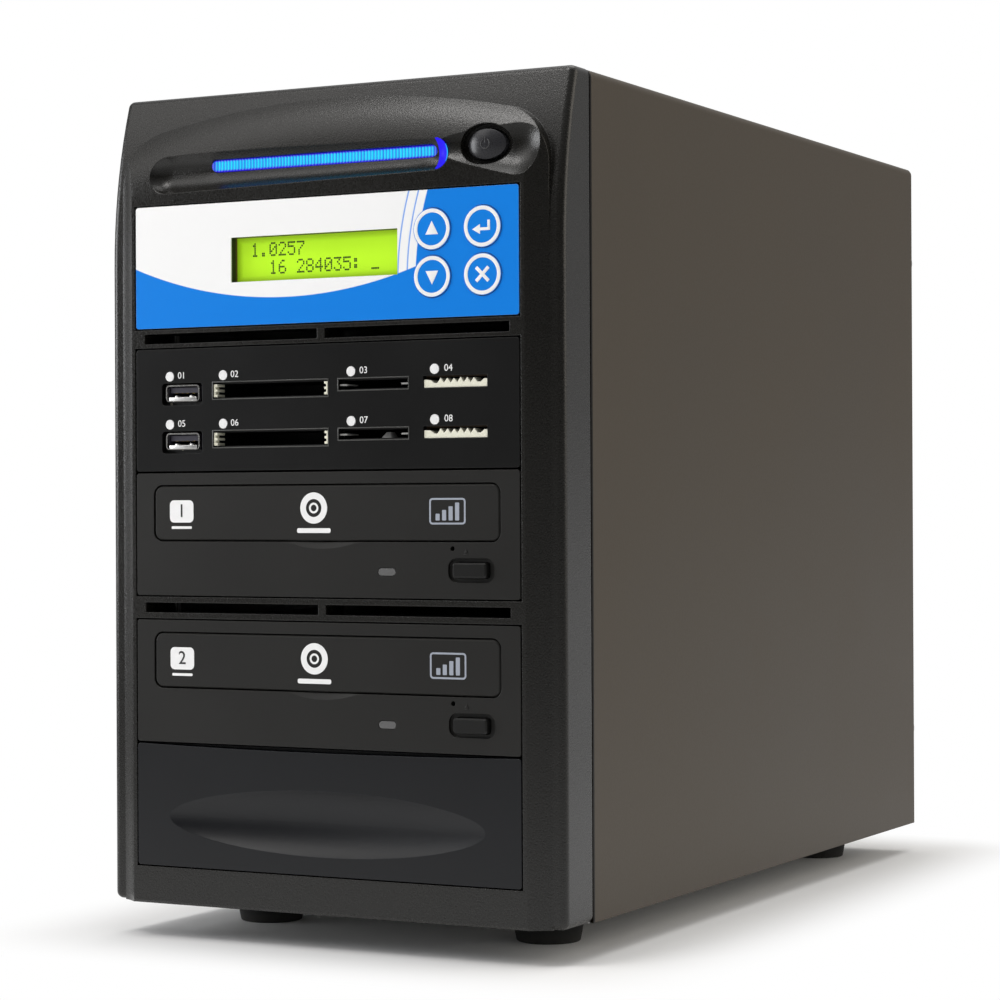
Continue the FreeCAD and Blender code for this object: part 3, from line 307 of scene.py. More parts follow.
def circuit_board(name, colour):
    """Solder resist over copper tracks, with plated pads."""
    shade = finish(name)
    x, y, z = shade.place()
    bends = 9.0
    upward = x.wave(2.2 * MM, shade.noise(14 * MM, detail=0.0) * bends)
    sideways = y.wave(2.6 * MM, shade.noise(11 * MM, detail=0.0) * bends)
    tracks = upward.high(sideways).step(0.55, 0.7)
    pads = shade.cells(3.6 * MM).step(0.16, 0.11)
    base = shade.tint(tracks * 0.6, colour, dark=1.0, light=2.1)
    base = shade.blend(pads, base, (0.62, 0.58, 0.48))
    return shade.surface(Base_Color=base, Metallic=pads, Roughness=0.36 + tracks * 0.08 - pads * 0.1,
                         Normal=shade.bump(tracks * 0.5 + pads, 0.03 * MM))


def lit_guide(name, core, rim, pitch):
    """Ribbed light guide, even along its middle line and deeper in colour at its edges and ends."""
    shade = finish(name)
    x, y, z = shade.place()
    low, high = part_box("light_bar")
    middle = (low + high) / 2
    across = abs(z - middle.z) / (0.55 * (high.z - low.z - 2 * GUIDE_RIM))
    along = abs(x - middle.x) / (0.5 * (high.x - low.x - 2 * GUIDE_RIM))
    ribs = (x - low.x - RIB_START).wave(pitch) * 0.5 + 0.5
    streak = shade.noise(1.4 * MM, detail=1.0, stretch=(1, 1, 0.1))
    glow = across.step(0.86, 0.55) * along.step(1.0, 0.93)
    return shade.surface(Base_Color=shade.blend(glow, (0.004, 0.004, 0.05), (0.004, 0.05, 0.10)),
                         Roughness=0.25 + ribs * 0.1, Specular_IOR_Level=0.2, Emission_Strength=1.0,
                         Emission_Color=shade.blend(glow * (ribs * 0.75 + streak * 0.55), rim, core),
                         Normal=shade.bump(ribs, 0.15 * MM))


def lit_end(name, core, rim):
    """Painted glow of the bar's light on the scoop's end: deep colour that brightens along its outer edge.
    """
    shade = finish(name)
    edge = shade.place()[0].step(47.0 * MM, 48.3 * MM)
    grain = shade.noise(0.5 * MM)
    glow = shade.blend(edge * (0.5 + grain * 0.5), scaled(rim, 1.35), core)
    return shade.surface(Base_Color=(0.003, 0.003, 0.05), Roughness=0.3 + grain * 0.1,
                         Specular_IOR_Level=0.06, Emission_Color=glow, Emission_Strength=1.0)


def socket_shell(name, colour):
    """Steel shell at its mouth that gives way to the dark plastic of the tongue inside."""
    shade = finish(name)
    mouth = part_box(PORTS)[0].y
    inside = shade.place()[1].step(mouth + 0.7 * MM, mouth + 1.0 * MM)
    grain = shade.noise(0.6 * MM)
    steel = shade.tint(grain, colour, dark=0.85, light=1.15)
    plastic = shade.blend(grain, (0.030, 0.028, 0.042), (0.045, 0.042, 0.060))
    return shade.surface(Base_Color=shade.blend(inside, steel, plastic), Metallic=1 - inside,
                         Roughness=0.26 + inside * 0.2 + grain.sway(0.1))


def film(shade, base, edge_colour, edge_share, edge_width):
    """Surface of a printed film: a fine matt grain and a worn rim over the base colour."""
    soft, edge_mask = shade.edges(edge_width)
    grain = shade.noise(0.35 * MM)
    return shade.surface(Base_Color=shade.blend(edge_mask * edge_share, base, edge_colour),
                         Roughness=0.36 + grain.sway(0.12), Specular_IOR_Level=0.2,
                         Normal=shade.bump(grain, 0.006 * MM, soft))


def display_film(name, white, blue):
    """Printed overlay: white field, blue field bounded by two arcs, and thin lines that follow one."""
    shade = finish(name)
    x, y, z = shade.place()
    low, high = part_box("panel_overlay")
    reach = distance(x - (high.x + 60 * MM), z - (low.z + 12 * MM))
    field = reach.step(98 * MM, 97.7 * MM)
    sweep = distance(x - (low.x + 60 * MM), z - (high.z + 128 * MM))
    wave = sweep.step(160.6 * MM, 160.9 * MM)
    lines = sum(abs(reach - radius * MM).step(0.35 * MM, 0.2 * MM) for radius in (101, 104.5))
    light = shade.blend(lines.low(1.0) * 0.75, white, scaled(blue, 1.15))
    base = shade.blend(field.high(wave), light, blue)
    return film(shade, base, edge_colour=(0.5, 0.52, 0.55), edge_share=0.5, edge_width=0.2 * MM)


def key_film(name, colour):
    """Printed film of the keys, with faint clouds in its ink."""
    shade = finish(name)
    ink = shade.noise(9 * MM) * 0.6 + shade.noise(0.35 * MM) * 0.4
    base = shade.tint(ink, colour, dark=0.9, light=1.1)
    return film(shade, base, edge_colour=(0.55, 0.66, 0.8), edge_share=0.35, edge_width=0.3 * MM)


def lit_display(name, colour):
    """Backlit display glass: soft uneven glow and a darker border."""
    shade = finish(name)
    x, y, z = shade.place()
    low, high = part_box("lcd_glass")
    edge_x = (x - low.x).low(high.x - x)
    edge_z = (z - low.z).low(high.z - z)
    border = edge_x.low(edge_z).step(1.6 * MM, 4.5 * MM)
    glow = shade.noise(30 * MM)
    base = shade.tint(border * (0.75 + glow * 0.4), colour, dark=0.62, light=1.0)
    return shade.surface(Base_Color=base, Roughness=0.18 + glow * 0.06, Emission_Color=base,
                         Emission_Strength=0.45)


def milky(name, white, grey):
    """Diffusing lens plastic with a faint inner cloud: white on the reader, smoky grey on the drives."""
    shade = finish(name)
    cloud = shade.noise(1.1 * MM)
    reader = shade.place()[2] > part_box("reader_bezel")[0].z
    pale = shade.tint(cloud, white, dark=0.85, light=1.0)
    smoky = shade.tint(cloud, grey, dark=0.8, light=1.0)
    return shade.surface(Base_Color=shade.blend(reader, smoky, pale), Roughness=0.3 + cloud * 0.1,
                         Subsurface_Weight=0.1, Subsurface_Radius=(1 * MM, 1 * MM, 1 * MM))


def printed(name, colour, rough=0.4):
    """Thin print: slightly uneven ink with a fine grain."""
    shade = finish(name)
    grain = shade.noise(0.25 * MM)
    cloud = shade.noise(3 * MM)
    return shade.surface(Base_Color=shade.tint(grain * 0.5 + cloud * 0.5, colour, dark=0.88, light=1.06),
                         Roughness=rough + grain.sway(0.14), Normal=shade.bump(grain, 0.004 * MM))


def slot_of(material):
    """Name of a material's slot, without the number that tells namesakes apart."""
    return material.name.split(".")[0]


def slot_finishes(colours, rib_pitch):
    """One material for each of the record's slots."""
    black = (0.010, 0.010, 0.010)
    made = (
        moulded("bezel_plastic", colours.bezel, grain=0.5 * MM, depth=0.065 * MM, rough=0.28, edge=0.5 * MM,
                sparkle=0.24),
        lit_guide("light_guide", colours.glow_core, colours.glow_rim, rib_pitch),
        moulded("power_cap", (0.022, 0.022, 0.025), depth=0.008 * MM, rough=0.28),
        powder_coat("cover_paint", colours.cover),
        plated("plated_steel", colours.steel, streak=(1, 1, 0.08)),
        plated("screw_steel", (0.50, 0.50, 0.50), rough=0.28),
        rubber("foot_rubber", (0.014, 0.014, 0.014)),
        circuit_board("board_green", (0.012, 0.10, 0.04)),
        moulded("panel_plastic", black, shine=0.3),
        display_film("overlay_film", colours.print_white, colours.print_blue),
        key_film("key_film", colours.print_blue),
        moulded("lcd_bezel", (0.10, 0.035, 0.02), rough=0.4),
        lit_display("lcd_glass", colours.display),
        # Reader panel edges lightened eightfold: a painted highlight along them
        moulded("reader_plastic", colours.reader, rough=0.36, depth=0.01 * MM, shine=0.25, rim=8.0),
        moulded("slot_plastic", (0.006, 0.006, 0.006), shine=0.3),
        # Cream slot housing coloured dark brown: painted shade of its deep mouth
        moulded("slot_cream", (0.035, 0.022, 0.012), rough=0.5, depth=0.01 * MM, shine=0.2),
        socket_shell("socket_steel", (0.66, 0.65, 0.62)),
        milky("lens_white", colours.print_white, (0.13, 0.13, 0.13)),
        moulded("drive_plastic", colours.drive, rough=0.46, shine=0.3),
        # Tray front edges darkened (rim below 1): painted shadow that widens the dark gap round the trays
        moulded("tray_plastic", (0.012, 0.0115, 0.0105), rough=0.42, shine=0.35, edge=0.5 * MM, rim=0.3),
        # Blank cover edges lightened sixfold: a painted highlight along them
        moulded("blank_plastic", colours.blank, rough=0.36, shine=0.4, rim=6.0),
        moulded("fan_plastic", black, rough=0.4),
        moulded("inlet_plastic", black, rough=0.3),
    )
    return {slot_of(material): material for material in made}


def node_finishes():
    """Finishes of single nodes that differ from the rest of their slot."""
    eject = moulded("eject_plastic", (0.008, 0.008, 0.0075), rough=0.4, shine=0.3)
    return {
        "reader_boards": circuit_board("board_black", (0.006, 0.006, 0.006)),
        "upper_drive_eject_button": eject,
        "lower_drive_eject_button": eject,
    }


FINISHES = {}


def colour_property(label, use, default):
    """A colour that a user can change."""
    return FloatVectorProperty(name=label, description=use, default=default, subtype="COLOR", min=0, max=1)


def length_property(label, use, millimetres):
    """A length that a user can change."""
    return FloatProperty(name=label, description=use, default=millimetres * MM, unit="LENGTH", precision=5)


class DuplicatorColours(bpy.types.PropertyGroup):
    """Colours of the finishes."""

    bezel: colour_property("Bezel", "Moulded front bezel", (0.0075, 0.0069, 0.0056))
    cover: colour_property("Cover", "Powder-coated steel cover", (0.050, 0.037, 0.022))
    reader: colour_property("Reader", "Card reader panel", (0.0055, 0.0055, 0.0055))
    drive: colour_property("Drive", "Disc drive fronts", (0.0125, 0.0120, 0.0108))
    blank: colour_property("Blank", "Blank bay cover", (0.0030, 0.0035, 0.0050))
    print_white: colour_property("Print white", "White print and overlay field", (0.90, 0.90, 0.90))
    print_pale: colour_property("Print pale", "Greyer print on the tray fronts", (0.36, 0.39, 0.46))
    print_blue: colour_property("Print blue", "Blue field of the overlay", (0.0, 0.205, 0.74))
    display: colour_property("Display", "Backlit display", (0.42, 0.76, 0.02))
    display_ink: colour_property("Display ink", "Dark dots of the display", (0.035, 0.075, 0.008))
    glow_core: colour_property("Glow core", "Middle of the lit bar", (0.02, 0.74, 0.97))
    glow_rim: colour_property("Glow rim", "Edges and end of the lit bar", (0.020, 0.008, 0.66))
    steel: colour_property("Steel", "Plated sheet", (0.44, 0.44, 0.43))


class DuplicatorSizes(bpy.types.PropertyGroup):
    """Sizes of the fine pieces."""

    print_relief: length_property("Print relief", "Thickness of raised print", 0.08)
    ring_stroke: length_property("Ring stroke", "Line width of the key rings", 1.25)
    dot_pitch: length_property("Dot pitch", "Spacing of the display's dots", 0.60)
    rib_pitch: length_property("Rib pitch", "Spacing of the ribs on the light bar", 1.2)


PRINT_SINK = 0.01 * MM
ROW_PITCH = 16.4 * MM
CROSSWAYS = (Vector((1, 0, 0)), Vector((-1, 0, 0)), Vector((0, 0, 1)), Vector((0, 0, -1)))


def by(x=0.0, y=0.0, z=0.0):
    """A shift given in millimetres."""
    return Vector((x, y, z)) * MM


def front_centre(node, depth):
    """Middle of a node's box as seen from the front, at a depth behind its foremost point."""
    low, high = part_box(node)
    return Vector(((low.x + high.x) / 2, low.y + depth, (low.z + high.z) / 2))


def deselect():
    """Leaves nothing selected."""
    bpy.ops.object.select_all(action="DESELECT")


def alone(piece):
    """Selects one piece and makes it active."""
    deselect()
    piece.select_set(True)
    bpy.context.view_layer.objects.active = piece


def settle():
    """Applies the place, turn and scale of the selected piece to its mesh."""
    bpy.ops.object.transform_apply(location=True, rotation=True, scale=True)


def added(name):
    """The object that was just added, under its name."""
    piece = bpy.context.active_object
    piece.name = name
    return piece


def start(kind, name, stretch=(1, 1, 1), **settings):
    """A primitive at its size and place, alone selected, with its place applied to its mesh."""
    deselect()
    getattr(bpy.ops.mesh, f"primitive_{kind}_add")(**settings)
    piece = added(name)
    piece.scale = stretch
    settle()
    return piece


def upright(kind, name, place, lean=math.pi / 2, **settings):
    """A primitive turned up about X, as a rule to face the front."""
    return start(kind, name, location=place, rotation=(lean, 0, 0), **settings)


def disc(name, place, radius, vertices=48, **settings):
    """A filled circle that faces the front."""
    return upright("circle", name, place, radius=radius, vertices=vertices, fill_type="NGON", **settings)


def flat(name, place, width, height, kind="plane", **settings):
    """A rectangle that faces the front."""
    return upright(kind, name, place, size=1, stretch=(width, height, 1), **settings)


def plate(name, place, width, height, corner, segments=5, **settings):
    """A rectangle with rounded corners that faces the front."""
    piece = flat(name, place, width, height, **settings)
    with Edit(piece):
        bpy.ops.mesh.bevel(offset=corner, segments=segments, affect="VERTICES")
    return piece


def block(name, corner, opposite):
    """A cube between two opposite corners, as a start."""
    corner = Vector(corner)
    opposite = Vector(opposite)
    size = [abs(length) for length in opposite - corner]
    return start("cube", name, size=1, location=(corner + opposite) / 2, stretch=size)


class Edit:
    """Edit mode on one piece, whose faces, edges or points are picked by a test."""

    def __init__(self, piece):
        self.piece = piece

    def __enter__(self):
        alone(self.piece)
        bpy.ops.object.mode_set(mode="EDIT")
        self.whole()
        return self

    def __exit__(self, *details):
        bpy.ops.object.mode_set(mode="OBJECT")

    def whole(self):
        """Selects everything."""
        bpy.ops.mesh.select_all(action="SELECT")

    def pick(self, kind, test):
        """Selects only the elements that pass the test."""
        bpy.ops.mesh.select_mode(type=kind)
        bpy.ops.mesh.select_all(action="DESELECT")
        mesh = bmesh.from_edit_mesh(self.piece.data)
        elements = {"FACE": mesh.faces, "EDGE": mesh.edges, "VERT": mesh.verts}[kind]
        found = [element for element in elements if test(element)]
        if not found:
            raise RuntimeError(f"nothing picked on {self.piece.name}")
        for element in found:
            element.select_set(True)
        mesh.select_flush_mode()
        bmesh.update_edit_mesh(self.piece.data)

    def facing(self, way):
        """Selects the faces that look a given way."""
        self.pick("FACE", lambda face: face.normal.dot(Vector(way)) > 0.9)

    def faces_at(self, test):
        """Selects the faces whose middle passes a test on its place."""
        self.pick("FACE", lambda face: test(face.calc_center_median()))

    def edges_at(self, test):
        """Selects the edges whose two ends pass a test on their place."""
        self.pick("EDGE", lambda edge: all(test(point.co) for point in edge.verts))

    def points_at(self, test):
        """Selects the points that pass a test on their place."""
        self.pick("VERT", lambda point: test(point.co))

    def grow(self, shift):
        """Extrudes what is selected along a vector."""
        bpy.ops.mesh.extrude_region_move(TRANSFORM_OT_translate={"value": shift})

    def slide(self, shift):
        """Moves what is selected."""
        bpy.ops.transform.translate(value=shift)

    def resize(self, factors, centre):
        """Scales what is selected about a point."""
        bpy.ops.transform.resize(value=factors, center_override=centre)

    def inset(self, thickness, depth=0.0, apart=False):
        """Insets the selected faces, together or one by one."""
        bpy.ops.mesh.inset(thickness=thickness, depth=depth, use_individual=apart)

    def drop(self):
        """Deletes the selected faces."""
        bpy.ops.mesh.delete(type="FACE")

    def round(self, offset, segments=2):
        """Bevels the selected edges."""
        bpy.ops.mesh.bevel(offset=offset, segments=segments, affect="EDGES")

    def outward(self):
        """Turns all faces to the outside."""
        self.whole()
        bpy.ops.mesh.normals_make_consistent(inside=False)


def modified(piece, kind, **settings):
    """The piece with one modifier applied."""
    alone(piece)
    modifier = piece.modifiers.new(kind.lower(), kind)
    for key, value in settings.items():
        setattr(modifier, key, value)
    bpy.ops.object.modifier_apply(modifier=modifier.name)
    return piece


def thicken(piece, relief):
    """Flat print that faces the front with a thickness towards the front."""
    return modified(piece, "SOLIDIFY", thickness=relief, offset=1)


def softened(piece, width, segments=2, limit=30.0):
    """The piece with its edges rounded where they turn by more than the limit."""
    return modified(piece, "BEVEL", width=width, segments=segments, limit_method="ANGLE",
                    angle_limit=math.radians(limit))


def hollowed(piece, stroke):
    """Flat outline of which only a rim is left."""
    with Edit(piece) as edit:
        edit.inset(stroke)
        edit.drop()
    return piece


def carved(piece, cutter):
    """The piece with a cutter taken out of it."""
    modified(piece, "BOOLEAN", object=cutter, operation="DIFFERENCE", solver="EXACT")
    alone(cutter)
    bpy.ops.object.delete()
    return piece


def joined(pieces, name):
    """Several objects as one."""
    alone(pieces[0])
    for piece in pieces[1:]:
        piece.select_set(True)
    bpy.ops.object.join()
    pieces[0].name = name
    return pieces[0]


def copied(piece, shift):
    """A copy with its own mesh, moved by a vector."""
    alone(piece)
    bpy.ops.object.duplicate(linked=False)
    bpy.ops.transform.translate(value=shift)
    settle()
    return bpy.context.active_object


def spread(piece, shifts):
    """The piece and its copies at further places, as one object."""
    return joined([piece] + [copied(piece, shift) for shift in shifts], piece.name)


def in_rows(parts, name):
    """The parts as one object, repeated in the lower row of the card reader."""
    return spread(joined(parts, name), [(0, 0, -ROW_PITCH)])


def turned(piece, angle, axis, centre):
    """The piece turned about an axis through a point."""
    alone(piece)
    spin = Matrix.Rotation(angle, 4, axis)
    piece.matrix_world = Matrix.Translation(centre) @ spin @ Matrix.Translation(-centre) @ piece.matrix_world
    settle()
    return piece


def lettered(name, body, height, place, relief):
    """Raised figures that stand up and face the front, centred on a place."""
    capital_share = 0.72
    deselect()
    bpy.ops.object.text_add()
    piece = added(name)
    piece.data.body = body
    piece.data.align_x = "CENTER"
    piece.data.align_y = "CENTER"
    piece.data.size = height / capital_share
    piece.data.resolution_u = 4
    bpy.ops.object.convert(target="MESH")
    piece.location = place
    piece.rotation_euler = (math.pi / 2, 0, 0)
    settle()
    return thicken(piece, relief)


def seat(piece, body, slot, material=None, angle=32.0):
    """Finishes a piece: smooth shading, its material (the slot's finish unless another is given) and the
    body it rides on.
    """
    alone(piece)
    settle()
    bpy.ops.object.shade_smooth_by_angle(angle=math.radians(angle))
    piece.data.materials.clear()
    piece.data.materials.append(material or FINISHES[slot])
    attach(piece, body)
    return piece


class Piecework:
    """Shared call of the operators, which hands on the scene's colours and sizes."""

    bl_options = {"REGISTER", "UNDO"}

    def execute(self, context):
        self.make(context.scene.duplicator_colours, context.scene.duplicator_sizes)
        return {"FINISHED"}


class DUPLICATOR_OT_finishes(Piecework, bpy.types.Operator):
    """Make the finishes and lay them on the frame's own nodes"""

    bl_idname = "duplicator.finishes"
    bl_label = "Finishes"

    def make(self, colours, sizes):
        FINISHES.update(slot_finishes(colours, sizes.rib_pitch))
        single = node_finishes()
        for name, node in NODES.items():
            slot = slot_of(node.material_slots[0].material)
            if slot not in FINISHES:
                raise RuntimeError(f"node {name} has no finish for its slot {slot}")
            node.material_slots[0].material = single.get(name, FINISHES[slot])


class DUPLICATOR_OT_key_legends(Piecework, bpy.types.Operator):
    """White ring and symbol on each of the four keys"""

    bl_idname = "duplicator.key_legends"
    bl_label = "Key Legends"

    ring_radius = 6.6 * MM
    pointer_radius = 2.75 * MM
    arrowhead_radius = 1.9 * MM
    edge = 0.03 * MM

    def make(self, colours, sizes):
        ink = printed("key_print", colours.print_white)
        symbols = {"key_up": self.pointer, "key_down": self.pointer,
                   "key_enter": self.return_arrow, "key_escape": self.cross}
        for key, symbol in symbols.items():
            centre = front_centre(key, PRINT_SINK)
            ring = hollowed(disc("ring", centre, self.ring_radius, vertices=96), sizes.ring_stroke)
            mark = symbol(centre)
            if key == "key_down":
                turned(mark, math.pi, "Y", centre)
            legend = thicken(joined([ring, mark], f"{key}_legend"), sizes.print_relief)
            seat(softened(legend, self.edge), key, "key_film", ink)

    def pointer(self, centre):
        """Solid triangle that points up."""
        mark = disc("mark", centre, self.pointer_radius, vertices=3)
        with Edit(mark) as edit:
            edit.resize((0.98, 1, 1.08), centre)
            edit.slide(by(z=-0.3))
        return mark

    def cross(self, centre):
        """Diagonal cross grown from a square."""
        stroke = 1.15 * MM
        arm = 2.6 * MM
        mark = flat("mark", centre, stroke, stroke)
        with Edit(mark) as edit:
            for way in CROSSWAYS:
                edit.pick("EDGE", lambda edge: edge.calc_length() < 1.1 * stroke and all(
                    (point.co - centre).dot(way) > 0.45 * stroke for point in edge.verts))
                edit.grow(way * arm)
        return turned(mark, math.pi / 4, "Y", centre)

    def return_arrow(self, centre):
        """Bent arrow that points left."""
        stroke = 0.95 * MM
        corner = centre + by(x=2.4, z=-0.9)
        tip = corner + by(x=-4.1)
        rise = by(z=2.4)
        run = by(x=-2.68)
        mark = flat("mark", corner, stroke, stroke)
        with Edit(mark) as edit:
            edit.edges_at(lambda spot: spot.z > corner.z)
            edit.grow(rise)
            edit.edges_at(lambda spot: spot.x < corner.x and spot.z < corner.z + stroke)
            edit.grow(run)
        head = turned(disc("head", tip, self.arrowhead_radius, vertices=3), -math.pi / 2, "Y", tip)
        return joined([mark, head], "mark")


FIGURES = {
    "0": "01110 10001 10011 10101 11001 10001 01110",
    "1": "00100 01100 00100 00100 00100 00100 01110",
    "2": "01110 10001 00001 00010 00100 01000 11111",
    "3": "11111 00010 00100 00010 00001 10001 01110",
    "4": "00010 00110 01010 10010 11111 00010 00010",
    "5": "11111 10000 11110 00001 00001 10001 01110",
    "6": "00110 01000 10000 11110 10001 10001 01110",
    "7": "11111 00001 00010 00100 01000 01000 01000",
    "8": "01110 10001 10001 01110 10001 10001 01110",
    "9": "01110 10001 10001 01111 00001 00010 01100",
    ".": "00000 00000 00000 00000 00000 01100 01100",
    ":": "00000 01100 01100 00000 01100 01100 00000",
    "_": "00000 00000 00000 00000 00000 00000 11111",
    " ": "00000 00000 00000 00000 00000 00000 00000",
}


class DUPLICATOR_OT_display_dots(Piecework, bpy.types.Operator):
    """Two lines of figures in square dots on the display"""

    bl_idname = "duplicator.display_dots"
    bl_label = "Display Dots"

    lines = ("1.0257        ", "  16 284035: _")
    cell_columns = 6
    cell_rows = 9
    row_stretch = 1.12
    left_margin = 7.4 * MM
    lift = 0.015 * MM
    gap = 0.045 * MM
    relief = 0.04 * MM

    def make(self, colours, sizes):
        low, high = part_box("lcd_glass")
        across = sizes.dot_pitch
        down = self.row_stretch * sizes.dot_pitch
        columns = self.cell_columns * len(self.lines[0])
        rows = self.cell_rows * len(self.lines) - 1
        size = Vector((columns * across, 0, -rows * down))
        corner = Vector((low.x + self.left_margin, low.y - self.lift, (low.z + high.z - size.z) / 2))
        dots = flat("display_dots", corner + size / 2, size.x, -size.z, "grid",
                    x_subdivisions=columns, y_subdivisions=rows)
        inked = self.inked()

        def blank(spot):
            offset = spot - corner
            return (int(offset.x / across), int(-offset.z / down)) not in inked

        with Edit(dots) as edit:
            edit.faces_at(blank)
            edit.drop()
            edit.whole()
            edit.inset(self.gap, apart=True)
            bpy.ops.mesh.select_all(action="INVERT")
            edit.drop()
        thicken(dots, self.relief)
        seat(dots, "chassis", "lcd_glass", printed("display_ink", colours.display_ink, rough=0.3))

    def inked(self):
        """Columns and rows of the dots that the figures need."""
        return {(self.cell_columns * place + column, self.cell_rows * line + row)
                for line, text in enumerate(self.lines)
                for place, figure in enumerate(text)
                for row, bits in enumerate(FIGURES[figure].split())
                for column, bit in enumerate(bits)
                if bit == "1"}


class DUPLICATOR_OT_light_ribs(Piecework, bpy.types.Operator):
    """Row of small ribs along the lit bar, and a painted glow in the scoop past its end"""

    bl_idname = "duplicator.light_ribs"
    bl_label = "Light Ribs"

    height_margin = GUIDE_RIM + 0.45 * MM
    rib_share = 0.55
    rise = 0.3 * MM
    root = 0.1 * MM
    taper = (0.45, 1, 0.93)
    edge = 0.06 * MM
    end_place = (43.1 * MM, READER_FRONT - 3.0 * MM, 262.4 * MM)
    end_radius = 6.1 * MM
    end_wall = 0.2 * MM

    def make(self, colours, sizes):
        low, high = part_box("light_bar")
        pitch = sizes.rib_pitch
        left = low.x + RIB_START
        run = high.x - RIB_START - left
        width = self.rib_share * pitch
        rib = block("light_ribs", (left, low.y - self.rise, low.z + self.height_margin),
                    (left + width, low.y + self.root, high.z - self.height_margin))
        with Edit(rib) as edit:
            edit.facing((0, -1, 0))
            edit.resize(self.taper, (left + width / 2, low.y, (low.z + high.z) / 2))
            edit.edges_at(lambda spot: spot.y < low.y)
            edit.round(self.edge)
        modified(rib, "ARRAY", count=int(run / pitch), use_relative_offset=False,
                 use_constant_offset=True, constant_offset_displace=(pitch, 0, 0))
        seat(rib, "chassis", "light_guide")
        self.crescent(colours)

    def crescent(self, colours):
        """Glowing crescent in the right end of the scoop: the bar's light on the moulding there, painted as
        emission.
        """
        front = READER_FRONT + 0.25 * MM
        left = self.end_place[0] + 0.4 * MM
        end = start("uv_sphere", "painted_light_end", segments=64, ring_count=32, radius=self.end_radius,
                    location=self.end_place)
        with Edit(end) as edit:
            edit.faces_at(lambda spot: spot.y < front or spot.x < left)
            edit.drop()
        modified(end, "SOLIDIFY", thickness=self.end_wall, offset=-1)
        seat(end, "chassis", "light_guide", lit_end("painted_guide_glow", colours.glow_core, colours.glow_rim))


class DUPLICATOR_OT_power_emblem(Piecework, bpy.types.Operator):
    """Raised broken ring and bar on the domed power button"""

    bl_idname = "duplicator.power_emblem"
    bl_label = "Power Emblem"

    sink = 0.22 * MM
    radius = 1.75 * MM
    stroke = 0.34 * MM
    relief = 0.30 * MM
    edge = 0.06 * MM

    def make(self, colours, sizes):
        centre = front_centre("power_button", self.sink)
        gap = centre.z + 1.35 * MM
        ring = hollowed(disc("ring", centre, self.radius), self.stroke)
        with Edit(ring) as edit:
            edit.faces_at(lambda spot: spot.z > gap)
            edit.drop()
        bar = flat("bar", centre + by(z=1.15), width=0.36 * MM, height=1.9 * MM)
        emblem = softened(thicken(joined([ring, bar], "power_emblem"), self.relief), self.edge)
        seat(emblem, "power_button", "power_cap",
             moulded("emblem_plastic", (0.05, 0.05, 0.052), rough=0.3, depth=0.004 * MM))


class DUPLICATOR_OT_socket_springs(Piecework, bpy.types.Operator):
    """Contact strips under the tongue, a lip and two spring tabs in each steel socket"""

    bl_idname = "duplicator.socket_springs"
    bl_label = "Socket Springs"

    strip_places = (-3.5, -1.0, 1.0, 3.5)
    tab_places = (-2.7, 3.3)
    tongue_drop = 3.1 * MM
    floor_drop = 5.4 * MM
    edge = 0.12 * MM

    def make(self, colours, sizes):
        low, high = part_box(PORTS)
        middle = (low.x + high.x) / 2
        tongue = Vector((middle, low.y, high.z - self.tongue_drop))
        strips = [self.strip(tongue + by(x=place)) for place in self.strip_places]
        seat(in_rows(strips, "socket_contacts"), "chassis", "socket_steel",
             plated("contact_gold", (0.72, 0.50, 0.18), rough=0.25))

        floor = Vector((middle, low.y, high.z - self.floor_drop))
        lip = block("lip", floor + by(-5.6, 0.08, -0.1), floor + by(5.6, 0.45, 1.25))
        tabs = [self.tab(floor + by(x=place)) for place in self.tab_places]
        softened(lip, self.edge, segments=3)
        seat(in_rows([lip] + tabs, "socket_springs"), "chassis", "socket_steel",
             plated("spring_steel", (0.86, 0.85, 0.83), rough=0.38))

    def strip(self, root):
        """One contact strip with a lifted tip."""
        strip = block("strip", root + by(-0.5, 1.5, 0.22), root + by(0.5, 9.0, 0.42))
        with Edit(strip) as edit:
            edit.facing((0, -1, 0))
            edit.slide(by(z=0.08))
            edit.edges_at(lambda spot: spot.z < root.z + 0.25 * MM)
            edit.round(0.06 * MM)
        return strip

    def tab(self, root):
        """One spring tab that narrows upwards."""
        tab = block("tab", root + by(-0.75, 0.12, 1.1), root + by(0.75, 2.4, 1.8))
        with Edit(tab) as edit:
            edit.facing((0, 0, 1))
            edit.resize((0.45, 0.8, 1), root + by(y=0.2))
        return softened(tab, self.edge)


WIDE, NARROW, STICK = sorted((name for name in NODES if name.endswith("_slots")),
                             key=lambda name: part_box(name)[0].x)


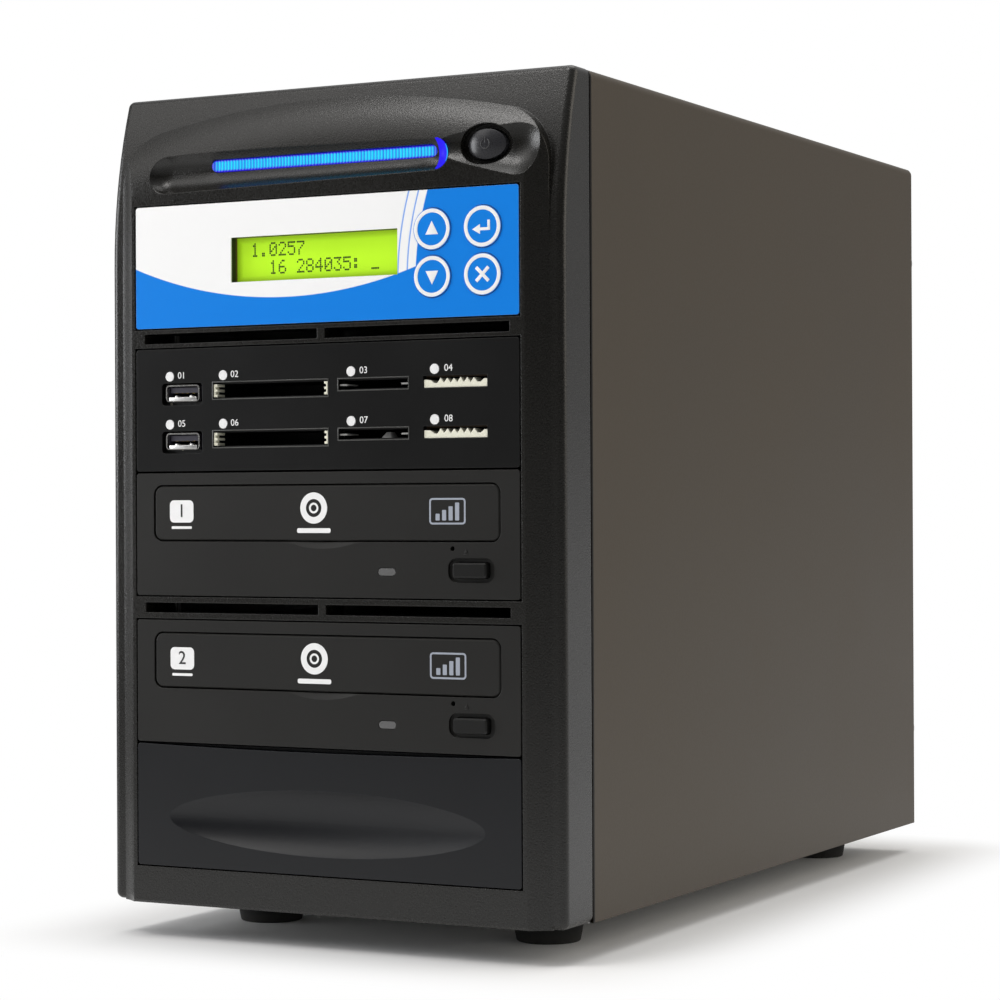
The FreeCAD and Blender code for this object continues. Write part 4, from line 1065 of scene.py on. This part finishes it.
class DUPLICATOR_OT_card_slots(Piecework, bpy.types.Operator):
    """Frames, guide arms, ledges and combs in the mouths of the card slots"""

    bl_idname = "duplicator.card_slots"
    bl_label = "Card Slots"

    wall = 1.0 * MM
    mouth_height = {WIDE: 4.6 * MM, NARROW: 2.8 * MM, STICK: 3.2 * MM}
    comb_heights = (2.3, 2.3, 2.2, 1.2, 1.2, 2.9, 1.3, 2.8, 1.2, 2.7,
                    1.3, 3.0, 1.2, 2.9, 1.2, 2.8, 1.3, 1.3, 2.3, 2.3)

    def make(self, colours, sizes):
        rims = in_rows([self.rim(WIDE), self.rim(NARROW)], "slot_rims")
        # The raised frames take a plastic ten times lighter than the panel: a painted highlight on the
        # mouths' edges
        seat(rims, "chassis", "reader_plastic",
             moulded("rim_painted_highlight", (0.055, 0.055, 0.052), rough=0.3, depth=0.004 * MM))
        arms = in_rows([self.arm(x, way) for x, way in self.sides(WIDE)], "wide_slot_arms")
        seat(arms, "chassis", "slot_cream",
             moulded("arm_nylon", (0.80, 0.77, 0.62), rough=0.4, depth=0.005 * MM))
        grey = moulded("ledge_plastic", (0.30, 0.30, 0.29), rough=0.4, depth=0.004 * MM)
        ledges = in_rows([self.ledge(x, way) for x, way in self.sides(NARROW)], "narrow_slot_ledges")
        seat(ledges, "chassis", "slot_plastic", grey)
        seat(self.carrier(), "chassis", "slot_plastic", grey)
        combs = spread(self.comb(), [(0, 0, -ROW_PITCH)])
        seat(combs, "chassis", "slot_cream",
             moulded("comb_nylon", (0.86, 0.82, 0.66), rough=0.4, depth=0.005 * MM))

    def mouth(self, node):
        """Corners of the upper mouth of a kind of slot."""
        low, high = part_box(node)
        top = high.z - self.wall
        return (Vector((low.x + self.wall, low.y, top - self.mouth_height[node])),
                Vector((high.x - self.wall, high.y, top)))

    def sides(self, node):
        """Both ends of the upper mouth, each with the way into it."""
        low, high = self.mouth(node)
        reach = 0.86 * MM
        return (low.x - reach, 1), (high.x + reach, -1)

    def rim(self, node):
        """Thin raised frame round a mouth."""
        low, high = self.mouth(node)
        stroke = 0.42 * MM
        relief = 0.16 * MM
        middle = (low + high) / 2
        middle.y = READER_FRONT + 0.02 * MM
        width = high.x - low.x + 2 * (0.9 * MM + stroke)
        height = high.z - low.z + 2 * (0.4 * MM + stroke)
        rim = hollowed(flat("rim", middle, width, height), stroke)
        return softened(thicken(rim, relief), 0.4 * relief)

    def arm(self, x, way):
        """Guide arm with a prong in every second band at one end of the wide slot."""
        low, high = self.mouth(WIDE)
        spare = 0.1 * MM
        thickness = 0.7 * MM
        prong = 0.75 * MM
        bands = 5
        arm = block("arm", (x, READER_FRONT + 0.25 * MM, low.z + spare),
                    (x + way * thickness, READER_FRONT + 5.0 * MM, high.z - spare))

        def on_prong(face):
            share = (face.calc_center_median().z - low.z) / (high.z - low.z)
            return face.normal.x * way > 0.9 and int(share * bands) % 2 == 0

        with Edit(arm) as edit:
            edit.facing((way, 0, 0))
            bpy.ops.mesh.subdivide(number_cuts=bands - 1)
            edit.pick("FACE", on_prong)
            edit.grow((way * prong, 0, 0))
        return softened(arm, 0.1 * MM)

    def ledge(self, x, way):
        """Short side ledge of the narrow slot."""
        low, high = self.mouth(NARROW)
        width = 2.9 * MM
        middle = (low.z + high.z) / 2
        ledge = block("ledge", (x, READER_FRONT + 0.6 * MM, middle - 0.45 * MM),
                      (x + way * width, READER_FRONT + 8.0 * MM, middle + 0.15 * MM))
        with Edit(ledge) as edit:
            edit.edges_at(lambda spot: spot.y < READER_FRONT + 1.0 * MM)
            edit.round(0.15 * MM, segments=3)
        return ledge

    def carrier(self):
        """Contact carrier on the floor of the lower narrow slot."""
        low, high = self.mouth(NARROW)
        root = Vector((low.lerp(high, 0.64).x, low.y, low.z - ROW_PITCH))
        carrier = block("contact_carrier", root + by(-2.0, 0.3, 0.0), root + by(2.0, 5.0, 2.0))
        with Edit(carrier) as edit:
            edit.facing((0, 0, 1))
            edit.resize((0.4, 0.6, 1), root + by(y=4.0))
        return softened(carrier, 0.15 * MM)

    def comb(self):
        """Cream block with a toothed upper edge in the mouth of the stick slot."""
        low, high = self.mouth(STICK)
        spare = 0.75 * MM
        body = 1.3 * MM
        depth = 5.0 * MM
        left = low.x - spare
        width = high.x + spare - left
        parts = len(self.comb_heights) - 1
        middle = Vector((left + width / 2, READER_FRONT + 0.35 * MM, low.z + 0.35 * MM))
        comb = flat("stick_slot_combs", middle, width, body, "grid",
                    x_subdivisions=parts, y_subdivisions=1)
        with Edit(comb) as edit:
            for number, height in enumerate(self.comb_heights):
                x = left + width * number / parts
                edit.points_at(lambda spot: abs(spot.x - x) < 0.1 * MM and spot.z > middle.z)
                edit.slide(by(z=height - 1.0))
            edit.whole()
            edit.grow((0, depth, 0))
            edit.outward()
        return softened(comb, 0.04 * MM, segments=1)


class DUPLICATOR_OT_reader_figures(Piecework, bpy.types.Operator):
    """Slot numbers printed beside the status lenses"""

    bl_idname = "duplicator.reader_figures"
    bl_label = "Reader Figures"

    columns = (-55.4, -34.0, 16.4, 48.2)
    rise = 3.1 * MM
    height = 2.3 * MM

    def make(self, colours, sizes):
        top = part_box(PORTS)[1].z + self.rise
        figures = []
        for row in (0, 1):
            for column, x in enumerate(self.columns):
                text = f"0{len(self.columns) * row + column + 1}"
                place = Vector((x * MM, READER_FRONT + PRINT_SINK, top - row * ROW_PITCH))
                figures.append(lettered("figure", text, self.height, place, sizes.print_relief))
        seat(joined(figures, "reader_figures"), "chassis", "reader_plastic",
             printed("reader_print", colours.print_white))


class DUPLICATOR_OT_tray_marks(Piecework, bpy.types.Operator):
    """Printed drive number, disc sign and bar sign on each tray front"""

    bl_idname = "duplicator.tray_marks"
    bl_label = "Tray Marks"

    plate_place = by(x=-55.6, z=0.6)
    disc_place = by(x=-3.0, z=1.6)
    bars_place = by(x=47.6, z=0.4)
    bar_heights = (2.2, 3.4, 4.6, 5.8)
    bar_pitch = 2.4
    figure_height = 4.6 * MM

    def make(self, colours, sizes):
        relief = sizes.print_relief
        white = printed("tray_print", colours.print_white)
        pale = printed("tray_print_pale", colours.print_pale)
        dark = printed("tray_print_dark", (0.012, 0.012, 0.012))
        for number, body in enumerate(("upper_tray", "lower_tray"), 1):
            face = front_centre(body.replace("tray", "drive_tray_front"), PRINT_SINK)
            face.x = 0
            bright = self.number_plate(face + self.plate_place) + self.disc_sign(face + self.disc_place)
            signs = {"print": (bright, white), "print_pale": (self.bar_sign(face + self.bars_place), pale)}
            for kind, (parts, ink) in signs.items():
                sign = joined([thicken(part, relief) for part in parts], f"{body}_{kind}")
                seat(sign, body, "tray_plastic", ink)
            place = face + self.plate_place - Vector((0, relief, 0))
            figure = lettered(f"{body}_number", str(number), self.figure_height, place, relief)
            seat(figure, body, "tray_plastic", dark)

    def number_plate(self, centre):
        """Filled plate for the drive's number, with a line under it."""
        return [plate("plate", centre, width=9.6 * MM, height=7.6 * MM, corner=1.6 * MM),
                plate("line", centre + by(z=-5.5), width=8.2 * MM, height=0.9 * MM, corner=0.3 * MM)]

    def disc_sign(self, centre):
        """Disc with its hub over a round-ended bar."""
        return [hollowed(disc("disc", centre, radius=5.2 * MM, vertices=64), stroke=2.2 * MM),
                hollowed(disc("hub", centre, radius=1.8 * MM), stroke=0.7 * MM),
                plate("bar", centre + by(z=-7.5), width=13.0 * MM, height=1.6 * MM, corner=0.6 * MM)]

    def bar_sign(self, centre):
        """Frame around four bars of rising height."""
        border = plate("border", centre, width=13.4 * MM, height=8.6 * MM, corner=1.2 * MM)
        parts = [hollowed(border, stroke=0.6 * MM)]
        for step, height in enumerate(self.bar_heights):
            place = centre + by(x=self.bar_pitch * (step - 1.5), z=height / 2 - 3.0)
            parts.append(plate("bar", place, width=1.5 * MM, height=height * MM, corner=0.25 * MM))
        return parts


class DUPLICATOR_OT_eject_signs(Piecework, bpy.types.Operator):
    """Raised triangle and bar above each eject button"""

    bl_idname = "duplicator.eject_signs"
    bl_label = "Eject Signs"

    relief = 0.12 * MM
    edge = 0.03 * MM

    def make(self, colours, sizes):
        for drive in ("upper", "lower"):
            low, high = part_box(f"{drive}_drive_eject_button")
            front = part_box(f"{drive}_drive_bezel")[0].y
            place = Vector(((low.x + high.x) / 2, front, high.z)) + by(-1.8, 0.02, 2.4)
            arrow = disc("arrow", place, radius=0.95 * MM, vertices=3)
            bar = plate("bar", place + by(z=-0.95), width=1.65 * MM, height=0.36 * MM, corner=0.1 * MM)
            sign = thicken(joined([arrow, bar], f"{drive}_eject_sign"), self.relief)
            seat(softened(sign, self.edge), "chassis", "drive_plastic")


def cross_cutter(place, reach, width, depth):
    """Cross with tapered arms, for the drive recess in a screw head that faces the back."""
    half = width / 2
    cutter = block("cutter", place + Vector((-half, -depth, -half)), place + Vector((half, 0.2 * MM, half)))
    with Edit(cutter) as edit:
        for way in CROSSWAYS:
            edit.pick("FACE", lambda face: face.normal.dot(way) > 0.9
                      and (face.calc_center_median() - place).dot(way) > 0.8 * half)
            edit.grow(way * (reach - half))
        edit.points_at(lambda spot: spot.y < place.y - 0.5 * depth)
        edit.resize((0.55, 1, 0.55), place)
    return cutter


class DUPLICATOR_OT_thumbscrews(Piecework, bpy.types.Operator):
    """Knurled thumbscrews that hold the cover"""

    bl_idname = "duplicator.thumbscrews"
    bl_label = "Thumbscrews"

    radius = 4.4 * MM
    head_length = 7.0 * MM
    flange = 1.3 * MM
    shank_radius = 1.75 * MM
    neck_inset = 0.7 * MM
    knurls = 60
    knurl_depth = 0.22 * MM
    grip = (2.4 * MM, 6.1 * MM)
    # Length in millimetres and flare of each step from the flange to the top
    grip_profile = ((0.7, 1.0), (0.25, 1.17), (4.0, 1.0), (0.55, 0.84))

    def make(self, colours, sizes):
        low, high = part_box("cover_thumbscrews")
        base = Vector((low.x + self.radius, high.y - self.head_length, low.z + self.radius))
        screw = upright("cylinder", "cover_thumbscrews_knurled", base + Vector((0, self.flange / 2, 0)),
                        vertices=self.knurls, radius=self.radius, depth=self.flange)
        with Edit(screw) as edit:
            edit.facing((0, 1, 0))
            edit.inset(self.neck_inset)
            for rise, flare in self.grip_profile:
                edit.grow(by(y=rise))
                edit.resize((flare, 1, flare), base)
            edit.inset(0.45 * MM)
            edit.inset(0.3 * MM, depth=-0.35 * MM)
            edit.facing((0, -1, 0))
            edit.inset(self.radius - self.shank_radius)
            edit.grow((0, low.y - base.y, 0))
            edit.pick("FACE", lambda face: self.is_groove(face, base))
            edit.inset(0.06 * MM, depth=-self.knurl_depth, apart=True)
            edit.outward()
        carved(screw, cross_cutter(base + by(y=6.45), reach=1.9 * MM, width=0.8 * MM, depth=1.6 * MM))
        wide = Vector((high.x - low.x - 2 * self.radius, 0, 0))
        tall = Vector((0, 0, high.z - low.z - 2 * self.radius))
        screws = spread(screw, [wide, tall, wide + tall])
        seat(screws, "chassis", "screw_steel", angle=24)
        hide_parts("cover_thumbscrews")

    def is_groove(self, face, base):
        """Every second flat on the side of the grip."""
        middle = face.calc_center_median() - base
        if not self.grip[0] < middle.y < self.grip[1] or abs(face.normal.y) > 0.2:
            return False
        turn = math.atan2(middle.z, middle.x) / TURN * self.knurls
        return math.floor(turn) % 2 == 0


class DUPLICATOR_OT_rear_screws(Piecework, bpy.types.Operator):
    """Hex screws with washer heads on the back"""

    bl_idname = "duplicator.rear_screws"
    bl_label = "Rear Screws"

    # Distance from the middle and the two heights of each group of four, in millimetres
    groups = ((69.0, (206.9, 280.9)), (35.75, (86.25, 157.75)))
    head_height = 1.8 * MM
    washer = 0.5 * MM
    washer_radius = 2.8 * MM
    hexagon = 1.3 * MM
    hexagon_radius = 2.35 * MM
    shank_inset = 1.2 * MM

    def make(self, colours, sizes):
        low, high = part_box("rear_screws")
        seat_y = high.y - self.head_height
        bases = [Vector((side * x * MM, seat_y, z * MM))
                 for x, heights in self.groups for side in (-1, 1) for z in heights]
        base = bases[0]
        washer = upright("cylinder", "washer", base + Vector((0, self.washer / 2, 0)), vertices=36,
                         radius=self.washer_radius, depth=self.washer)
        with Edit(washer) as edit:
            edit.facing((0, 1, 0))
            edit.inset(0.35 * MM, depth=0.15 * MM)
            edit.facing((0, -1, 0))
            edit.inset(self.shank_inset)
            edit.grow((0, low.y - seat_y, 0))
        crown = base + Vector((0, self.head_height, 0))
        head = upright("cylinder", "head", crown - Vector((0, self.hexagon / 2, 0)), vertices=6,
                       radius=self.hexagon_radius, depth=self.hexagon)
        with Edit(head) as edit:
            edit.facing((0, 1, 0))
            edit.inset(0.3 * MM, depth=-0.05 * MM)
        softened(head, 0.12 * MM)
        carved(head, cross_cutter(crown, reach=1.45 * MM, width=0.6 * MM, depth=1.2 * MM))
        screw = joined([washer, head], "rear_screws_hex")
        screws = spread(screw, [place - base for place in bases[1:]])
        seat(screws, "chassis", "screw_steel", angle=24)
        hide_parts("rear_screws")


class DUPLICATOR_OT_feet(Piecework, bpy.types.Operator):
    """Rubber feet with a rolled rim, a shallow waist and a screw recess"""

    bl_idname = "duplicator.feet"
    bl_label = "Feet"

    radius = 13.0 * MM
    flange = 2.2 * MM
    # Length in millimetres and taper of each step from the flange down
    side_profile = ((1.2, 0.955), (5.6, 0.925), (1.4, 0.975), (1.6, 0.97))
    tread = 1.4 * MM
    hollow_width = 3.0 * MM
    hollow_depth = 0.4 * MM
    recess_wall = 0.7 * MM
    recess = 4.5 * MM
    edge = 0.45 * MM

    def make(self, colours, sizes):
        low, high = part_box("feet")
        centre = Vector((low.x + self.radius, low.y + self.radius, high.z - self.flange / 2))
        foot = start("cylinder", "rubber_feet", vertices=64, radius=self.radius, depth=self.flange,
                     location=centre)
        with Edit(foot) as edit:
            edit.facing((0, 0, -1))
            for drop, taper in self.side_profile:
                edit.grow(by(z=-drop))
                edit.resize((taper, taper, 1), centre)
            edit.inset(self.tread)
            edit.inset(self.hollow_width, depth=-self.hollow_depth)
            edit.inset(self.recess_wall)
            edit.grow((0, 0, self.recess))
            edit.outward()
        softened(foot, self.edge, segments=3, limit=35.0)
        wide = Vector((high.x - low.x - 2 * self.radius, 0, 0))
        deep = Vector((0, high.y - low.y - 2 * self.radius, 0))
        feet = spread(foot, [wide, deep, wide + deep])
        seat(feet, "chassis", "foot_rubber", angle=40)
        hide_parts("feet")


class DUPLICATOR_OT_rocker_marks(Piecework, bpy.types.Operator):
    """Printed bar and ring on the two wings of the mains rocker"""

    bl_idname = "duplicator.rocker_marks"
    bl_label = "Rocker Marks"

    ring_lean = math.radians(-69.5)
    bar_lean = math.radians(-88.5)

    def make(self, colours, sizes):
        low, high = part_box("mains_rocker")
        middle = (low.x + high.x) / 2
        ring_place = Vector((middle, high.y, low.z)) + by(y=-1.61, z=5.32)
        bar_place = Vector((middle, high.y, high.z)) + by(y=-3.32, z=-4.5)
        ring = hollowed(disc("ring", ring_place, radius=2.0 * MM, lean=self.ring_lean), stroke=0.5 * MM)
        bar = plate("bar", bar_place, width=0.55 * MM, height=4.0 * MM, corner=0.15 * MM, segments=3,
                    lean=self.bar_lean)
        marks = thicken(joined([ring, bar], "rocker_marks"), sizes.print_relief)
        seat(marks, "mains_rocker", "inlet_plastic", printed("rocker_print", colours.print_white))


class DUPLICATOR_OT_stage(bpy.types.Operator):
    """Set up the floor, the world, the lamps and the camera"""

    bl_idname = "duplicator.stage"
    bl_label = "Stage"

    aim = Vector((0, 0, 0.15))
    # Name, place, width, power and colour of each lamp
    softboxes = (
        ("key_softbox", (-0.35, -0.96, 1.55), 0.45, 6.0, (1.0, 0.98, 0.96)),
        ("slant_softbox", (-0.75, -0.95, 1.1), 0.7, 2.2, (1.0, 0.98, 0.96)),
        ("left_softbox", (-1.24, -0.72, 0.40), 0.6, 7.8, (0.97, 0.98, 1.0)),
        ("top_softbox", (0.1, 0.2, 1.9), 1.5, 17.0, (1.0, 0.99, 0.97)),
        ("side_softbox", (1.6, 0.5, 0.8), 1.2, 7.4, (1.0, 0.92, 0.80)),
    )
    camera_place = (0.47967, -0.96375, 0.14879)
    camera_turns = ((27.56, "Z"), (90.058, "X"), (-0.265, "Z"))
    camera_lens = 100.19

    def execute(self, context):
        scene = context.scene
        scene.view_settings.view_transform = "Standard"
        self.add_floor()
        self.add_world(scene)
        for name, place, size, energy, colour in self.softboxes:
            self.add_softbox(name, Vector(place), size, energy, colour)
        self.add_camera(scene)
        return {"FINISHED"}

    def add_floor(self):
        """Pale floor: shadow near the tower, white further out, dimmer in reflections of its far part."""
        floor = start("grid", "studio_floor", x_subdivisions=4, y_subdivisions=4, size=12)
        half_width = CAD_BOX[1][0]
        half_depth = 0.17
        shade = finish("studio_white")
        x, y, z = shade.place()
        camera, glossy, clear = shade.rays("Camera", "Glossy", "Transmission")
        reach = distance((abs(x) - half_width).high(0.0), (abs(y) - half_depth).high(0.0))
        far = glossy * reach.step(0.15, 0.6) * y.step(1.0, 0.3)
        shown = reach.step(0.0, 0.055) * camera.high(glossy).high(clear)
        pale = shade.node("ShaderNodeBsdfDiffuse", None, {"Color": (0.92, 0.92, 0.92)})
        white = shade.node("ShaderNodeEmission", None,
                           {"Color": shade.tint(far, (1.0, 1.0, 1.0), dark=1.0, light=0.4)})
        both = shade.node("ShaderNodeMixShader", None, {0: shown, 1: pale.outputs[0], 2: white.outputs[0]})
        shade.node("ShaderNodeOutputMaterial", None, {"Surface": both.outputs[0]})
        floor.data.materials.append(shade.owner)

    def add_world(self, scene):
        """White for the camera; in reflections bright behind and above, and dim in front."""
        scene.world = bpy.data.worlds.new("studio")
        shade = Shade(scene.world)
        camera, glossy, clear = shade.rays("Camera", "Glossy", "Transmission")
        x, y, z = shade.split(shade.node("ShaderNodeTexCoord").outputs["Generated"])
        mirror = 0.03 + y.step(-0.4, 0.6) * 0.38 + z.step(0.2, 0.9) * 0.5
        strength = camera.high(clear).high(glossy * mirror).high((1 - glossy) * 0.42)
        light = shade.node("ShaderNodeBackground", None, {"Color": (1.0, 1.0, 1.0), "Strength": strength})
        shade.node("ShaderNodeOutputWorld", None, {"Surface": light.outputs[0]})

    def add_softbox(self, name, place, size, energy, colour):
        """Square lamp that faces the middle of the tower."""
        bpy.ops.object.light_add(type="AREA", location=place)
        lamp = added(name)
        lamp.rotation_euler = (self.aim - place).to_track_quat("-Z", "Y").to_euler()
        lamp.data.size = size
        lamp.data.energy = energy
        lamp.data.color = colour

    def add_camera(self, scene):
        """Camera at the photograph's place, with its slight roll."""
        bpy.ops.object.camera_add()
        camera = added("view_camera")
        pose = Matrix.Translation(self.camera_place)
        for degrees, axis in self.camera_turns:
            pose = pose @ Matrix.Rotation(math.radians(degrees), 4, axis)
        camera.matrix_world = pose
        camera.data.lens = self.camera_lens
        camera.data.sensor_width = 36.0
        camera.data.clip_start = 0.01
        camera.data.clip_end = 50.0
        scene.camera = camera


OPERATORS = (
    DUPLICATOR_OT_finishes,
    DUPLICATOR_OT_key_legends,
    DUPLICATOR_OT_display_dots,
    DUPLICATOR_OT_light_ribs,
    DUPLICATOR_OT_power_emblem,
    DUPLICATOR_OT_socket_springs,
    DUPLICATOR_OT_card_slots,
    DUPLICATOR_OT_reader_figures,
    DUPLICATOR_OT_tray_marks,
    DUPLICATOR_OT_eject_signs,
    DUPLICATOR_OT_thumbscrews,
    DUPLICATOR_OT_rear_screws,
    DUPLICATOR_OT_feet,
    DUPLICATOR_OT_rocker_marks,
    DUPLICATOR_OT_stage,
)


class DUPLICATOR_PT_looks(bpy.types.Panel):
    """Sidebar list of the duplicator's pieces"""

    bl_idname = "DUPLICATOR_PT_looks"
    bl_label = "Duplicator"
    bl_space_type = "VIEW_3D"
    bl_region_type = "UI"
    bl_category = "Duplicator"

    def draw(self, context):
        layout = self.layout
        for operator in OPERATORS:
            layout.operator(operator.bl_idname)
        for group in (context.scene.duplicator_colours, context.scene.duplicator_sizes):
            for key in group.__annotations__:
                layout.prop(group, key)


CLASSES = (DuplicatorColours, DuplicatorSizes, *OPERATORS, DUPLICATOR_PT_looks)


def register():
    for cls in CLASSES:
        bpy.utils.register_class(cls)
    bpy.types.Scene.duplicator_colours = PointerProperty(type=DuplicatorColours)
    bpy.types.Scene.duplicator_sizes = PointerProperty(type=DuplicatorSizes)


def unregister():
    del bpy.types.Scene.duplicator_sizes
    del bpy.types.Scene.duplicator_colours
    for cls in reversed(CLASSES):
        bpy.utils.unregister_class(cls)


def main():
    """Build every piece in order."""
    register()
    for operator in OPERATORS:
        category, name = operator.bl_idname.split(".")
        getattr(getattr(bpy.ops, category), name)()


if __name__ == "__main__":
    main()
